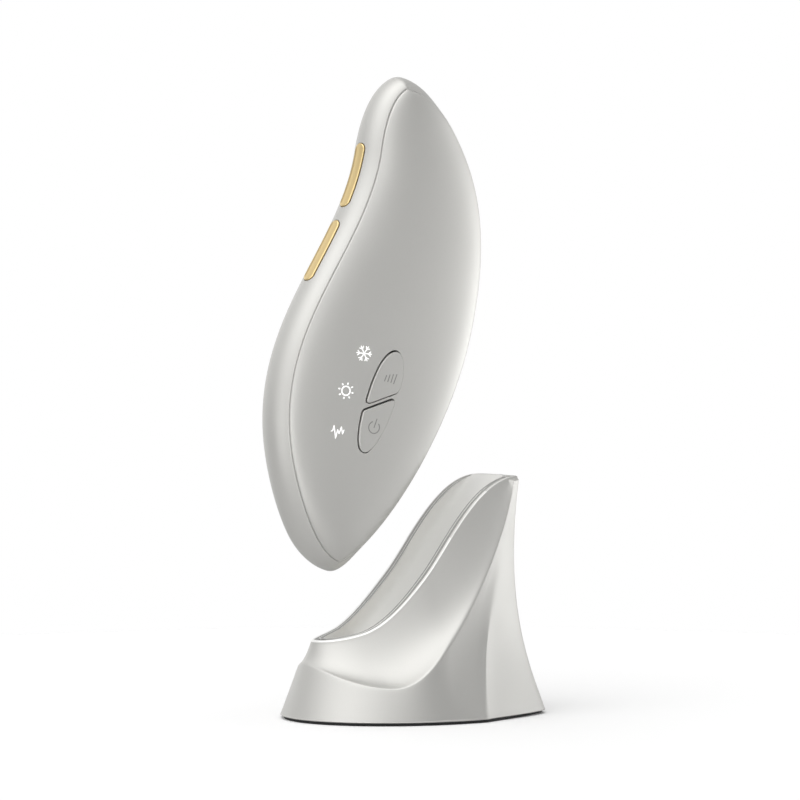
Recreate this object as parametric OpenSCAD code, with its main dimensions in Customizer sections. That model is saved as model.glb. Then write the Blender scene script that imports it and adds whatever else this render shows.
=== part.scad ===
// Facial toning device with its cradle stand.
// Millimetres, +Z up, +X runs from the front lip of the stand to its tall rear wall.
// The origin is on the floor under the stand. The device is modelled lifted off its cradle.

/* [Device body] */
// distance between the two seam points of the leaf outline, top to bottom
device_length = 126.7; // [125:0.1:128]
// widest distance across the leaf outline inside the seams
device_width = 51.5; // [50.5:0.5:52.5]
// half height of the edge band on the concave side
band_half_left = 7.2; // [7.0:0.1:7.4]
// half height of the edge band on the convex side
band_half_right = 5.6; // [5.4:0.1:5.8]
// half height of the edge band at the two noses
band_half_nose = 6.2; // [6.0:0.1:6.4]
// how far the band bulges past the seam on the concave side
bulge_left = 3.9; // [3.6:0.1:4.1]
// how far the band bulges past the seam on the convex side
bulge_right = 1.2; // [1.0:0.1:1.3]
// how far the upper nose stands past its seam point
bulge_top = 3.8; // [3.5:0.1:4.0]
// how far the lower nose stands past its seam point
bulge_bottom = 2.7; // [2.5:0.1:2.9]
// half thickness of the part that sits in the cradle
half_low = 8.6; // [8.5:0.05:8.6]
// half thickness of the upper part
half_high = 10.2; // [9.8:0.1:10.6]
// wall thickness of the shells
device_wall = 1.9; // [1.8:0.1:2.0]
// width of the seam groove
seam_gap = 0.12; // [0.08:0.02:0.16]

/* [Buttons, icons and electrodes] */
// gap round each button
button_gap = 0.22; // [0.2:0.01:0.26]
// travel of the buttons
button_travel = 0.35; // [0.3:0.05:0.4]
// size across one icon
icon_size = 4.5; // [4.3:0.1:4.6]
// length of one gold electrode
electrode_length = 18.6; // [18:0.2:19]
// width of one gold electrode round the edge
electrode_width = 4.5; // [4.3:0.1:4.7]
// how far the electrodes lie off the middle of the band, towards the front face
electrode_shift = 0.95; // [0.8:0.05:1.1]
// how far the electrodes stand proud of the band
electrode_proud = 0.25; // [0.2:0.05:0.3]

/* [Stand] */
// height of the rear wall above the floor
stand_height = 65; // [64.5:0.1:65.5]
// length of the base, front to rear
base_length = 73.7; // [73:0.1:74.5]
// width of the base
base_width = 56; // [55:0.5:57]
// wall thickness of the stand's shell
stand_wall = 2.2; // [2.0:0.1:2.3]
// half width inside the cradle trough
trough_half = 9.0; // [9.0:0.05:9.2]
// wall thickness of the trough liner
liner_wall = 1.2; // [1.1:0.1:1.3]
// height of the rubber foot below the shell
foot_height = 0.8; // [0.6:0.1:1]

/* [Hidden] */
$fn = 16;
kx = device_width/51.5;
kz = device_length/126.7;
ax = -25; az = 42.2;
silver = [0.78, 0.775, 0.75];
gold = [0.90, 0.76, 0.45];
dark = [0.13, 0.13, 0.14];
white = [0.93, 0.93, 0.92];
steel = [0.62, 0.63, 0.65];
board_green = [0.08, 0.30, 0.22];

function bz(p, t) = p[0]*pow(1 - t, 3) + 3*p[1]*pow(1 - t, 2)*t + 3*p[2]*(1 - t)*t*t + p[3]*pow(t, 3);
function run(c, s) = let (n = len(c), k = min(n - 1, floor(s*n))) bz(c[k], s*n - k);
// the same, with the parameter breaks of the segments given: k holds 0 .. 1
function run_at(c, k, s) = let (i = s < k[1] ? 0 : s < k[2] ? 1 : 2) bz(c[i], (s - k[i])/(k[i + 1] - k[i]));
function sm(a, b, x) = let (t = min(1, max(0, (x - a)/(b - a)))) t*t*(3 - 2*t);
function unit(v) = v/max(1e-9, norm(v));
// places on the body follow its width and length
function devx(x) = ax + (x - ax)*kx;
function devz(z) = az + (z - az)*kz;
function dev(c) = [for (g = c) [for (p = g) [devx(p[0]), devz(p[1])]]];

// ---- device outline: seam curves in the X-Z plane, lower point to upper point
seam_left = dev([[[-25, 42.2], [-33, 44.5], [-40, 66], [-40, 80]],
  [[-40, 80], [-40, 109], [-17.4, 126], [-13, 152]],
  [[-13, 152], [-11.9, 158.5], [-9.6, 166.3], [-5, 168.9]]]);
seam_right = dev([[[-25, 42.2], [-12.5, 46.5], [8, 76], [14.4, 102]],
  [[14.4, 102], [21, 129], [17.4, 146], [8.2, 159.6]],
  [[8.2, 159.6], [5, 164.3], [1, 167.6], [-5, 168.9]]]);
left_breaks = [0, .298, .867, 1];
right_breaks = [0, .472, .927, 1];
function seam(side, s) = side < 0 ? run_at(seam_left, left_breaks, s) : run_at(seam_right, right_breaks, s);
function seam_out(side, s) = let (q = seam(side, min(1, s + 5e-4)) - seam(side, max(0, s - 5e-4)),
  u = unit(q)) side*[u[1], -u[0]];
function half_at(side, s) = let (m = side < 0 ? band_half_left : band_half_right)
  band_half_nose + (m - band_half_nose)*min(sm(0, .17, s), sm(0, .17, 1 - s));
function bulge_at(side, s) = side < 0
  ? bulge_left + (bulge_top - bulge_left)*sm(.9, 1, s) + (bulge_bottom - bulge_left)*sm(.11, 0, s)
  : bulge_right + (bulge_top - bulge_right)*sm(.93, 1, s) + (bulge_bottom - bulge_right)*sm(.1, 0, s);
// band section: v -1 at the front seam, 0 at mid height, 1 at the back seam
function arc(h, b, v) = let (r = (h*h + b*b)/(2*b), a = v*asin(min(1, h/r))) [r*cos(a) - r + b, r*sin(a)];
function edge(side, s, v, d = 0) = let (p = seam(side, s), n = seam_out(side, s),
  a = arc(half_at(side, s), bulge_at(side, s), v), g = a[0] + d)
  [p[0] + n[0]*g, a[1], p[1] + n[1]*g];
function ang(v) = atan2(v[1], v[0]);
function nose(top, f, v) = let (s = top ? 1 : 0, p = seam(-1, s),
  al = ang(seam_out(-1, s)), ar = ang(seam_out(1, s)),
  a0 = top ? (al < 0 ? al + 360 : al) : (al > 0 ? al - 360 : al),
  a1 = top ? ar : (ar < a0 ? ar + 360 : ar), a = a0 + (a1 - a0)*f,
  q = arc(band_half_nose, top ? bulge_top : bulge_bottom, v))
  [p[0] + cos(a)*q[0], q[1], p[1] + sin(a)*q[0]];
function half_thick(s) = half_low + (half_high - half_low)*sm(.36, .75, s)*sm(0, .2, 1 - s);
function sat(x, m) = let (q = x/m, e = exp(2*q)) m*(e - 1)/(e + 1);
roll_left = 38;
roll_right = 66;
// cap section: u 0 at the left seam, 1 at the right seam; dy lowers it towards the middle plane
function cap(s, u, dy = 0) = let (a = seam(-1, s), b = seam(1, s), w = norm(b - a),
  hl = half_at(-1, s), hr = half_at(1, s), y = (8*half_thick(s) - hl - hr)/6,
  l = sat(w*.3, (y - hl)/sin(roll_left)), r = sat(w*.24, (y - hr)/sin(roll_right)),
  q = bz([[0, hl], [l*cos(roll_left), hl + l*sin(roll_left)],
    [w - r*cos(roll_right), hr + r*sin(roll_right)], [w, hr]], u), k = q[0]/max(w, 1e-6))
  [a[0] + (b[0] - a[0])*k, -(q[1] - dy), a[1] + (b[1] - a[1])*k];

rows = 24;
cols = 9;
function rowf(i) = .5 - .5*cos(180*i/rows);
// one closed sheet between two grids that share their first and last rows as single points
module sheet(outer, inner) {
  nr = len(outer); nc = len(outer[0]);
  pts = concat([for (r = outer) for (p = r) p], [for (r = inner) for (p = r) p]);
  function id(k, i, j) = k*nr*nc + i*nc + (i == 0 || i == nr - 1 ? 0 : j);
  tri = concat(
    [for (i = [0:nr - 2], j = [0:nc - 2]) each [
      [id(0, i, j), id(0, i + 1, j), id(0, i, j + 1)],
      [id(0, i, j + 1), id(0, i + 1, j), id(0, i + 1, j + 1)],
      [id(1, i, j), id(1, i, j + 1), id(1, i + 1, j)],
      [id(1, i, j + 1), id(1, i + 1, j + 1), id(1, i + 1, j)]]],
    [for (i = [0:nr - 2]) each [
      [id(0, i, 0), id(1, i, 0), id(0, i + 1, 0)],
      [id(1, i, 0), id(1, i + 1, 0), id(0, i + 1, 0)],
      [id(0, i, nc - 1), id(0, i + 1, nc - 1), id(1, i, nc - 1)],
      [id(1, i, nc - 1), id(0, i + 1, nc - 1), id(1, i + 1, nc - 1)]]]);
  polyhedron(pts, [for (t = tri) if (t[0] != t[1] && t[1] != t[2] && t[0] != t[2]) t], convexity = 6);
}
function ease(i, n) = let (t = i/n) t + 0.35*(t*t*(3 - 2*t) - t);
function cap_grid(dy, tuck, inset) = [for (i = [0:rows]) [for (j = [0:cols])
  let (s = inset + (1 - 2*inset)*rowf(i), u = ease(j, cols),
    k = (j == 0 || j == cols) ? u : tuck + (1 - 2*tuck)*u,
    p = cap(s, k, dy), c = (seam(-1, s) + seam(1, s))/2, w = norm(seam(1, s) - seam(-1, s)),
    f = max(0, 1 - 2*seam_gap/max(w, .4)))
  [c[0] + (p[0] - c[0])*f, p[1], c[1] + (p[2] - c[1])*f]]];
module cap_shell() {
  sheet(cap_grid(0, 0, .002), cap_grid(device_wall, .035, .002));
}
// everything under the front face, down to the middle plane
module cap_solid(dy = 0) {
  g = cap_grid(dy, 0, .002);
  sheet(g, [for (r = g) [for (p = r) [p[0], 0, p[2]]]]);
}

// ---- edge band: rings at several heights, closed by ladders between the two sides
nf = 5;
function band_ring(v, d = 0) = concat(
  [for (i = [0:rows]) edge(-1, rowf(i), v, d)],
  [for (i = [1:nf]) nose(true, i/(nf + 1), v)],
  [for (i = [0:rows]) edge(1, 1 - rowf(i), v, d)],
  [for (i = [1:nf]) nose(false, 1 - i/(nf + 1), v)]);
module band_solid() {
  lv = [-1, -.6, -.2, .2, .6, 1];
  rings = [for (v = lv) band_ring(v)];
  m = len(rings[0]); n = len(lv);
  top0 = rows; top1 = rows + nf + 1; bot0 = 2*rows + nf + 1;
  function cj(j) = (j >= top0 && j <= top1) ? top0 : (j >= bot0 ? 0 : j);
  function id(k, j) = k*m + ((k == 0 || k == n - 1) ? cj(j%m) : j%m);
  quads = concat(
    [for (k = [0:n - 2], j = [0:m - 1]) each [
      [id(k, j), id(k + 1, j), id(k, j + 1)], [id(k + 1, j), id(k + 1, j + 1), id(k, j + 1)]]],
    [for (i = [0:rows - 1]) let (o = top1 + rows - i)
      each ladder(id(0, i), id(0, i + 1), id(0, o), id(0, o - 1))],
    [for (i = [0:rows - 1]) let (o = top1 + rows - i)
      each ladder(id(n - 1, i + 1), id(n - 1, i), id(n - 1, o - 1), id(n - 1, o))]);
  pts = [for (r = rings) for (p = r) p];
  polyhedron(pts, [for (t = quads) if (t[0] != t[1] && t[1] != t[2] && t[0] != t[2]) t], convexity = 6);
}
function ladder(a, b, c, d) = [[a, b, c], [b, d, c]];
// straight-walled block whose outline is the seam loop moved inwards by d
module seam_block(y0, y1, d) {
  function inwards(side, f) = let (s = .002 + .996*f, a = seam(side, s), b = seam(-side, s))
    a + (b - a)*min(.49, d/max(norm(b - a), .1));
  pl = [for (i = [0:rows]) inwards(-1, rowf(i))];
  pr = [for (i = [0:rows]) inwards(1, 1 - rowf(i))];
  translate([0, y1, 0]) rotate([90, 0, 0]) linear_extrude(y1 - y0) polygon(concat(pl, pr));
}
ledge = 1.8;
// patch of the band for an electrode or its opening: mid and reach give its place and half length
// along the left seam, wide its half width, round_r its corner radius, grow_by a margin at the ends
function strip_grid(mid, reach, wide, round_r, grow_by, d) = let (n = 12,
  s0 = strip_s(mid, -reach), s1 = strip_s(mid, reach),
  len_mm = norm(seam(-1, s1) - seam(-1, s0)), g = grow_by/len_mm, r = round_r)
  [for (i = [0:n]) let (t = -g + (1 + 2*g)*(.5 - .5*cos(180*i/n)),
      s = s0 + (s1 - s0)*t, e = min(t + g, 1 + g - t)*len_mm,
      w = e >= r ? wide : wide - r + sqrt(max(.04, r*r - (r - e)*(r - e))),
      h = half_at(-1, s), b = bulge_at(-1, s), rad = (h*h + b*b)/(2*b), top = asin(min(1, h/rad)),
      a0 = asin(-(electrode_shift + w)/rad)/top, a1 = asin((w - electrode_shift)/rad)/top)
    [for (j = [0:6]) edge(-1, s, a0 + (a1 - a0)*j/6, d)]];
module block_sheet(outer, inner) {
  nr = len(outer); nc = len(outer[0]);
  pts = concat([for (r = outer) for (p = r) p], [for (r = inner) for (p = r) p]);
  function id(k, i, j) = k*nr*nc + i*nc + j;
  polyhedron(pts, concat(
    [for (i = [0:nr - 2], j = [0:nc - 2]) each [
      [id(0, i, j), id(0, i, j + 1), id(0, i + 1, j)],
      [id(0, i, j + 1), id(0, i + 1, j + 1), id(0, i + 1, j)],
      [id(1, i, j), id(1, i + 1, j), id(1, i, j + 1)],
      [id(1, i, j + 1), id(1, i + 1, j), id(1, i + 1, j + 1)]]],
    [for (i = [0:nr - 2]) each [
      [id(0, i, 0), id(0, i + 1, 0), id(1, i, 0)], [id(1, i, 0), id(0, i + 1, 0), id(1, i + 1, 0)],
      [id(0, i, nc - 1), id(1, i, nc - 1), id(0, i + 1, nc - 1)],
      [id(1, i, nc - 1), id(1, i + 1, nc - 1), id(0, i + 1, nc - 1)]]],
    [for (j = [0:nc - 2]) each [
      [id(0, 0, j), id(1, 0, j), id(0, 0, j + 1)], [id(1, 0, j), id(1, 0, j + 1), id(0, 0, j + 1)],
      [id(0, nr - 1, j), id(0, nr - 1, j + 1), id(1, nr - 1, j)],
      [id(1, nr - 1, j), id(0, nr - 1, j + 1), id(1, nr - 1, j + 1)]]]), convexity = 4);
}
s_per_mm = 1/(134*kz);
up_mid = .808;
low_mid = .637;
strip_half = electrode_width/2;
strip_round = 2;
strip_gap = .12;
strip_deep = 1.4;
function strip_s(mid, q) = mid + q*electrode_length/2*s_per_mm;
module electrode(mid) {
  color(gold) block_sheet(
    strip_grid(mid, 1, strip_half, strip_round, 0, electrode_proud),
    strip_grid(mid, 1, strip_half, strip_round, 0, -strip_deep));
}
module electrode_opening(mid) {
  block_sheet(
    strip_grid(mid, 1, strip_half + strip_gap, strip_round + strip_gap, strip_gap, 2),
    strip_grid(mid, 1, strip_half + strip_gap, strip_round + strip_gap, strip_gap, -7.5));
}
module upper_electrode() { electrode(up_mid); }
module lower_electrode() { electrode(low_mid); }

// ---- charging pads on the lower right edge
pad_s = .05;
pad_seam = seam(1, pad_s);
pad_n = seam_out(1, pad_s);
pad_y = 1.6;
pad_d = 2.2;
pad_deep = 2.1;
pad_reach = arc(half_at(1, pad_s), bulge_at(1, pad_s), pad_y/half_at(1, pad_s))[0];
pad_tilt = atan2(pad_n[0], -pad_n[1]);
// the local z axis points out of the band
module at_pad(y, out) {
  translate([pad_seam[0] + pad_n[0]*(pad_reach + out), y, pad_seam[1] + pad_n[1]*(pad_reach + out)])
    rotate([0, 180 - pad_tilt, 0]) children();
}
module charge_pads() {
  color(gold) resize([0, 0, 0]) intersection() {
    band_solid();
    for (y = [-pad_y, pad_y]) at_pad(y, -pad_deep) cylinder(d = pad_d, h = pad_deep + 1);
  }
}

module front_shell() {
  color(silver) resize([0, 0, 0]) difference() {
    cap_shell();
    prism(grow(mode_loop, button_gap), -14, 0);
    prism(grow(power_loop, button_gap), -14, 0);
    icon_shapes(-14, inlay_y, 0);
  }
}
module back_shell() {
  color(silver) mirror([0, 1, 0]) cap_shell();
}
module edge_band() {
  color(silver) resize([0, 0, 0]) difference() {
    band_solid();
    seam_block(-20, 20, ledge);
    seat_pocket();
    mirror([0, 1, 0]) seat_pocket();
    electrode_opening(up_mid);
    electrode_opening(low_mid);
    for (y = [-pad_y, pad_y]) at_pad(y, -pad_deep - 1) cylinder(d = pad_d + .2, h = 6);
  }
}
// the front shell sits in this pocket, down to a ledge
module seat_pocket() {
  function spread(p, s) = let (c = (seam(-1, s) + seam(1, s))/2, w = norm(seam(1, s) - seam(-1, s)),
    f = 1 + .1/max(w, .6)) [c[0] + (p[0] - c[0])*f, p[1], c[1] + (p[2] - c[1])*f];
  g = [for (i = [0:rows]) [for (j = [0:cols]) spread(cap(rowf(i), j/cols, -6), rowf(i))]];
  h = [for (i = [0:rows]) [for (j = [0:cols]) let (s = rowf(i), u = j/cols,
    y = -(half_at(-1, s)*(1 - u) + half_at(1, s)*u) + device_wall, p = spread(cap(s, u, -6), s))
    [p[0], y, p[2]]]];
  sheet(g, h);
}

// ---- buttons: outlines in the X-Z plane
mode_curve = [[[-18.1, 85.6], [-16.6, 90.8], [-13.6, 98], [-9.9, 98.2]],
  [[-9.9, 98.2], [-6.9, 98.3], [-7.1, 91.5], [-8.5, 88.2]],
  [[-8.5, 88.2], [-8.8, 87.5], [-9.2, 87.1], [-9.9, 86.9]],
  [[-9.9, 86.9], [-12.2, 86.15], [-14.6, 85.35], [-16.9, 84.6]],
  [[-16.9, 84.6], [-17.9, 84.25], [-18.4, 84.8], [-18.1, 85.6]]];
power_curve = [[[-19.5, 81.6], [-19.3, 82.4], [-18.9, 82.6], [-18.3, 82.8]],
  [[-18.3, 82.8], [-16, 83.55], [-13.6, 84.35], [-11.3, 85.1]],
  [[-11.3, 85.1], [-10.2, 85.5], [-9.7, 85], [-10, 84.1]],
  [[-10, 84.1], [-11.6, 79.6], [-15.6, 71.5], [-18.5, 71.3]],
  [[-18.5, 71.3], [-21.4, 71.3], [-20.6, 77.5], [-19.5, 81.6]]];
function loop_pts(c) = [for (g = dev(c)) for (k = [0:5]) bz(g, k/6)];
mode_loop = loop_pts(mode_curve);
power_loop = loop_pts(power_curve);
// both outlines run clockwise, so the left-hand side of the path is outside
function grow(p, m) = let (n = len(p)) [for (i = [0:n - 1])
  let (d = unit(p[(i + 1)%n] - p[(i + n - 1)%n])) p[i] + m*[-d[1], d[0]]];
module prism(p, y0, y1) {
  translate([0, y1, 0]) rotate([90, 0, 0]) linear_extrude(y1 - y0) polygon(p);
}
flange_y = -half_low + device_wall + .25;
plunger = 1.1;
module button(loop, post) {
  color(silver) resize([0, 0, 0]) {
    intersection() { cap_solid(); prism(loop, -14, flange_y + .6); }
    intersection() { cap_solid(device_wall + .04); prism(grow(loop, .6), -14, flange_y + .6); }
    translate([devx(post[0]), flange_y + plunger, devz(post[1])]) rotate([90, 0, 0])
      cylinder(d = 3.4, h = .7);
  }
}
button_post = [[-12.9, 91.2], [-15.9, 78.3]];
module mode_button() { button(mode_loop, button_post[0]); }
module power_button() { button(power_loop, button_post[1]); }
pad_top = flange_y + plunger + button_travel + .03;
// the silicone pad's sheet starts behind the domes
sheet_y = pad_top + button_travel;
sheet_thick = .6;
dome_d = 2.6;
module button_pad() {
  color([0.25, 0.25, 0.27]) resize([0, 0, 0]) difference() {
    union() {
      prism(grow(mode_loop, 2.2), sheet_y, sheet_y + sheet_thick);
      prism(grow(power_loop, 2.2), sheet_y, sheet_y + sheet_thick);
      for (p = button_post) dome(p);
    }
    for (p = button_post) translate([devx(p[0]), sheet_y + sheet_thick + .1, devz(p[1])])
      rotate([90, 0, 0]) cylinder(d = dome_d, h = sheet_thick + .15);
  }
}
module dome(p) {
  translate([devx(p[0]), sheet_y + .1, devz(p[1])]) rotate([90, 0, 0])
    cylinder(d1 = dome_d + 1.6, d2 = dome_d, h = button_travel + .1);
}

// ---- icons: snowflake, sun and pulse wave, as clear inlays carried by one guide
icon_at = [[-19.26, 97.67], [-24.42, 87.74], [-26.73, 77.09]];
icon_stroke = .4;
snow_turn = 25;
sun_turn = -16.5;
wave_line = [[-1.84, 0], [-1.37, .15], [-1.01, 1.45], [-.59, -1.87], [.02, .34], [.41, -.67],
  [1.09, 1.05], [1.41, -.77], [1.84, .23]];
module stroke(a, b, d) {
  v = unit(b - a)*d/2;
  n = [-v[1], v[0]];
  polygon([a + n, a - v*.6 + n*.5, a - v*.6 - n*.5, a - n, b - n, b + v*.6 - n*.5, b + v*.6 + n*.5, b + n]);
}
// icon k as flat strokes, made slimmer by slim
module icon_flat(k, slim) {
  r = (icon_size - icon_stroke)/2;
  d = icon_stroke - slim;
  ring = .65*icon_size - icon_stroke;
  if (k == 0) for (a = [0:60:300]) rotate(a + snow_turn) {
    stroke([0, 0], [0, r], d);
    for (m = [-1, 1]) stroke([0, .56*r], [m*.4*r, .8*r], d);
  }
  if (k == 1) {
    difference() { circle(d = ring + d); circle(d = ring - d); }
    for (a = [0:45:315]) rotate(a + sun_turn) stroke([0, .85*r], [0, .95*r], d);
  }
  if (k == 2) for (i = [1:len(wave_line) - 1]) stroke(wave_line[i - 1], wave_line[i], d);
}
module icon_shapes(y0, y1, slim) {
  for (k = [0:2]) icon_place(k) translate([0, y1, 0]) rotate([90, 0, 0])
    linear_extrude(y1 - y0) icon_flat(k, slim);
}
module icon_place(k) { translate([devx(icon_at[k][0]), 0, devz(icon_at[k][1])]) children(); }
// floor of the shallow recesses the inlays sit in
inlay_y = -half_low + .85;
module icon_inlays() {
  color(white) resize([0, 0, 0]) intersection() { cap_solid(-.02); icon_shapes(-14, inlay_y, .06); }
}
guide_y = -half_low + device_wall + .1;
guide_back = guide_y + 1.2;
module guide_post(k, d, h) {
  icon_place(k) translate([0, guide_back, 0]) rotate([90, 0, 0]) cylinder(d = d, h = h);
}
// light guide behind the icons, clear plastic
module icon_guide() {
  color([0.85, 0.88, 0.9]) resize([0, 0, 0]) {
    intersection() {
      cap_solid(device_wall + .02);
      for (k = [0:2]) guide_post(k, 5.2, 4);
    }
    for (k = [0, 1]) hull() { guide_post(k, 2, .8); guide_post(k + 1, 2, .8); }
  }
}

// ---- inside the device
board_y = sheet_y + sheet_thick;
board_thick = 1.2;
chip_high = 1.1;
function off_seam(side, s, d) = let (a = seam(side, s), b = seam(-side, s)) a + (b - a)*d/norm(b - a);
function inner_outline(s0, s1, d) = concat([for (i = [0:12]) off_seam(-1, s0 + (s1 - s0)*i/12, d)],
  [for (i = [0:12]) off_seam(1, s1 + (s0 - s1)*i/12, d)]);
module control_board() {
  color(board_green) prism(inner_outline(.15, .49, 4.2), board_y, board_y + board_thick);
  color(dark) for (q = [[-30, 84, 5, 5], [-24, 66, 7, 7], [-5, 76, 5, 4]])
    translate([devx(q[0]) - q[2]/2, board_y + board_thick, devz(q[1]) - q[3]/2])
      cube([q[2], chip_high, q[3]]);
  color(white) for (k = [0:2]) icon_place(k) translate([-.8, guide_back, -.7])
    cube([1.6, board_y - guide_back, 1.4]);
}
frame_y = board_y + board_thick + chip_high;
frame_thick = 1.4;
module posts(y1) {
  for (p = [[-23, 57], [-33, 92], [6, 98], [10, 120], [-5, 150]]) translate([devx(p[0]), y1, devz(p[1])])
    rotate([90, 0, 0]) cylinder(d = 4, h = y1 - frame_y - .2);
}
// plastic frame that carries the board and the battery between the two shells
module body_frame() {
  color([0.2, 0.2, 0.21]) resize([0, 0, 0]) {
    difference() {
      prism(inner_outline(.1, .88, 5.4), frame_y, frame_y + frame_thick);
      prism(inner_outline(.56, .83, 7.8), frame_y - 1, frame_y + 3);
    }
    intersection() {
      mirror([0, 1, 0]) cap_solid(device_wall + .02);
      posts(14);
    }
    posts(.5);
  }
}
battery_at = [-19.5, 80];
battery_size = [22, 4.6, 32];
module battery() {
  color([0.16, 0.3, 0.5])
    translate([devx(battery_at[0]) - battery_size[0]/2, frame_y + frame_thick,
      devz(battery_at[1]) - battery_size[2]/2]) cube(battery_size);
}
// thermoelectric cooler and the metal spreader that joins it to both electrodes
cool_at = [-1.2, 128];
cooler_size = [15, 3, 15];
module cooler() {
  color(white) translate([devx(cool_at[0]) - cooler_size[0]/2, frame_y - cooler_size[1],
    devz(cool_at[1]) - cooler_size[2]/2]) cube(cooler_size);
}
spread_y = frame_y - 4.2;
spread_x = [-16, 6];
spread_wide = 12;
// a point d inside the band's outside, at mid height
function wall_pt(s, d) = let (p = edge(-1, s, 0, -d)) [p[0], p[2]];
module heat_spreader() {
  color(steel) resize([0, 0, 0]) {
    for (m = [up_mid, low_mid]) block_sheet(
      strip_grid(m, .9, strip_half - .4, strip_round - .4, 0, -strip_deep - .02),
      strip_grid(m, .9, strip_half - .4, strip_round - .4, 0, -6.8));
    prism(concat([for (i = [0:10]) wall_pt(.6 + .25*i/10, 6.3)],
      [for (i = [0:10]) wall_pt(.85 - .25*i/10, 7.9)]), spread_y, 2.2);
    translate([devx(spread_x[0]), spread_y, devz(cool_at[1]) - spread_wide/2])
      cube([devx(spread_x[1]) - devx(spread_x[0]), 1.2, spread_wide]);
  }
}
module heat_sink() {
  w = cooler_size[0] + 1; fin = 1.2;
  color([0.7, 0.7, 0.72]) resize([0, 0, 0])
    translate([devx(cool_at[0]) - w/2, frame_y, devz(cool_at[1]) - w/2]) {
      cube([w, 2.2, w]);
      for (k = [0:4]) translate([k*(w - fin)/4, 0, 0]) cube([fin, 7, w]);
    }
}

// ---- stand curves
qx = base_length/73.7;
qy = base_width/56;
qz = stand_height/65;
function stp(c) = [for (g = c) [for (p = g) [p[0]*qx, p[1]*qy, p[2]*qz]]];
ridge_curve = stp([[[-32.7, 0, 15.2], [-32.7, -8, 14.6], [-26, -17.5, 9.8], [-17, -21.8, 9.5]],
  [[-17, -21.8, 9.5], [-10.5, -24.9, 9.3], [-5.5, -23.9, 15], [0, -21.8, 21]],
  [[0, -21.8, 21], [9.5, -18.3, 30.3], [19.6, -14.6, 47], [24.2, -13.5, 62]]]);
rim_curve = stp([[[-30.2, 0, 21.2], [-30.2, -3.4, 21.2], [-26, -6.9, 21.3], [-20.5, -9.5, 23]],
  [[-20.5, -9.5, 23], [-14.3, -12.5, 24.8], [-8, -12.9, 31.8], [-2.5, -13, 38.3]],
  [[-2.5, -13, 38.3], [4.2, -12.9, 46.2], [13.2, -12.7, 65], [25.3, -13.4, 65]]]);
rim_table = [for (i = [0:60]) let (p = run(rim_curve, i/60)) [p[0], p[2]]];
function rim_z(x) = lookup(x, rim_table);
th = trough_half;
mouth_curve = [[[-26.5, 0], [-26.5, -2.6], [-23, -5.2], [-17.5, -.811*th]],
  [[-17.5, -.811*th], [-12, -1.02*th], [-7.5, -th], [-2.5, -th]],
  [[-2.5, -th], [4.5, -th], [13, -th], [22.6, -th]]];
spine_curve = [[[-26.5, 21.2], [-24, 20.1], [-20.4, 19.7], [-16.4, 19.8]],
  [[-16.4, 19.8], [-8.9, 20.1], [4.8, 39.3], [22.6, 65*qz]]];
lean = 76.2;
p_crease = [37.5*cos(lean), -28*sin(lean)];
p_corner = [34.2, -11.8];
function base_pt(u) = let (q = u <= 1
    ? let (a = 180 - (180 - lean)*(1 - pow(1 - u, 1.9))) [37.5*cos(a), -28*sin(a)]
    : u <= 2 ? let (t = u - 1) p_crease*(1 - t)*(1 - t) + [22.5, -21]*2*t*(1 - t) + p_corner*t*t
    : bz([p_corner, p_corner + [1.3, 3.5], [36.2, -4], [36.2, 0]], u - 2))
  [q[0]*qx, q[1]*qy, foot_height];
top_corner = [25.2*qx, -13.4*qy, 63*qz];
function ridge_pt(u) = u <= 1 ? run(ridge_curve, u)
  : u <= 2 ? run(ridge_curve, 1)*(2 - u) + top_corner*(u - 1)
  : [top_corner[0], top_corner[1]*(3 - u), top_corner[2]];
crease_pull = [[-5.8, -2.5, -8.7], [-6.3, -2.4, -13.3]];
rear_pull = [[-.7, 0, -16.2], [-8, -.4, -12.3]];
function skirt(u, v) = let (a = base_pt(u), b = ridge_pt(u),
  k = u <= 1 ? pow(u, 3) : max(0, 2 - u), r = u <= 1 ? 0 : min(1, u - 1), y = u <= 2 ? 1 : 3 - u,
  o1 = crease_pull[0]*k + rear_pull[0]*r, o2 = crease_pull[1]*k + rear_pull[1]*r)
  bz([a, a + (b - a)/3 + [o1[0], o1[1]*y, o1[2]], a + (b - a)*2/3 + [o2[0], o2[1]*y, o2[2]], b], v);
function rim_w(u) = u <= 1 ? .97*u : .97 + .03*min(1, u - 1);
function rim_out(u) = u <= 2 ? run(rim_curve, rim_w(u))
  : let (p = run(rim_curve, 1)) [p[0], p[1]*(3 - u), p[2]];
ballast_z = foot_height + 2;
dock_z = ballast_z + 6;
usb_z = dock_z + board_thick + 1.6;
// the outside of the rear wall at the height of the charging socket
rear_table = [for (i = [0:20]) let (p = skirt(3, i/20)) [p[2], p[0]]];
rear_x = lookup(usb_z, rear_table);
round_edge = .6;
function shift_in(p, d) = let (xc = max(-18, min(14, .6*p[0])), n = unit([xc - p[0], -p[1]]))
  [p[0] + n[0]*d, p[1] + n[1]*d, p[2]];
function rim_low(u) = let (p = rim_out(u)) [p[0], p[1], p[2] - .5];
function rim_top(u) = let (p = shift_in(rim_out(u), round_edge)) [p[0], p[1], rim_z(p[0])];
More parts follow.
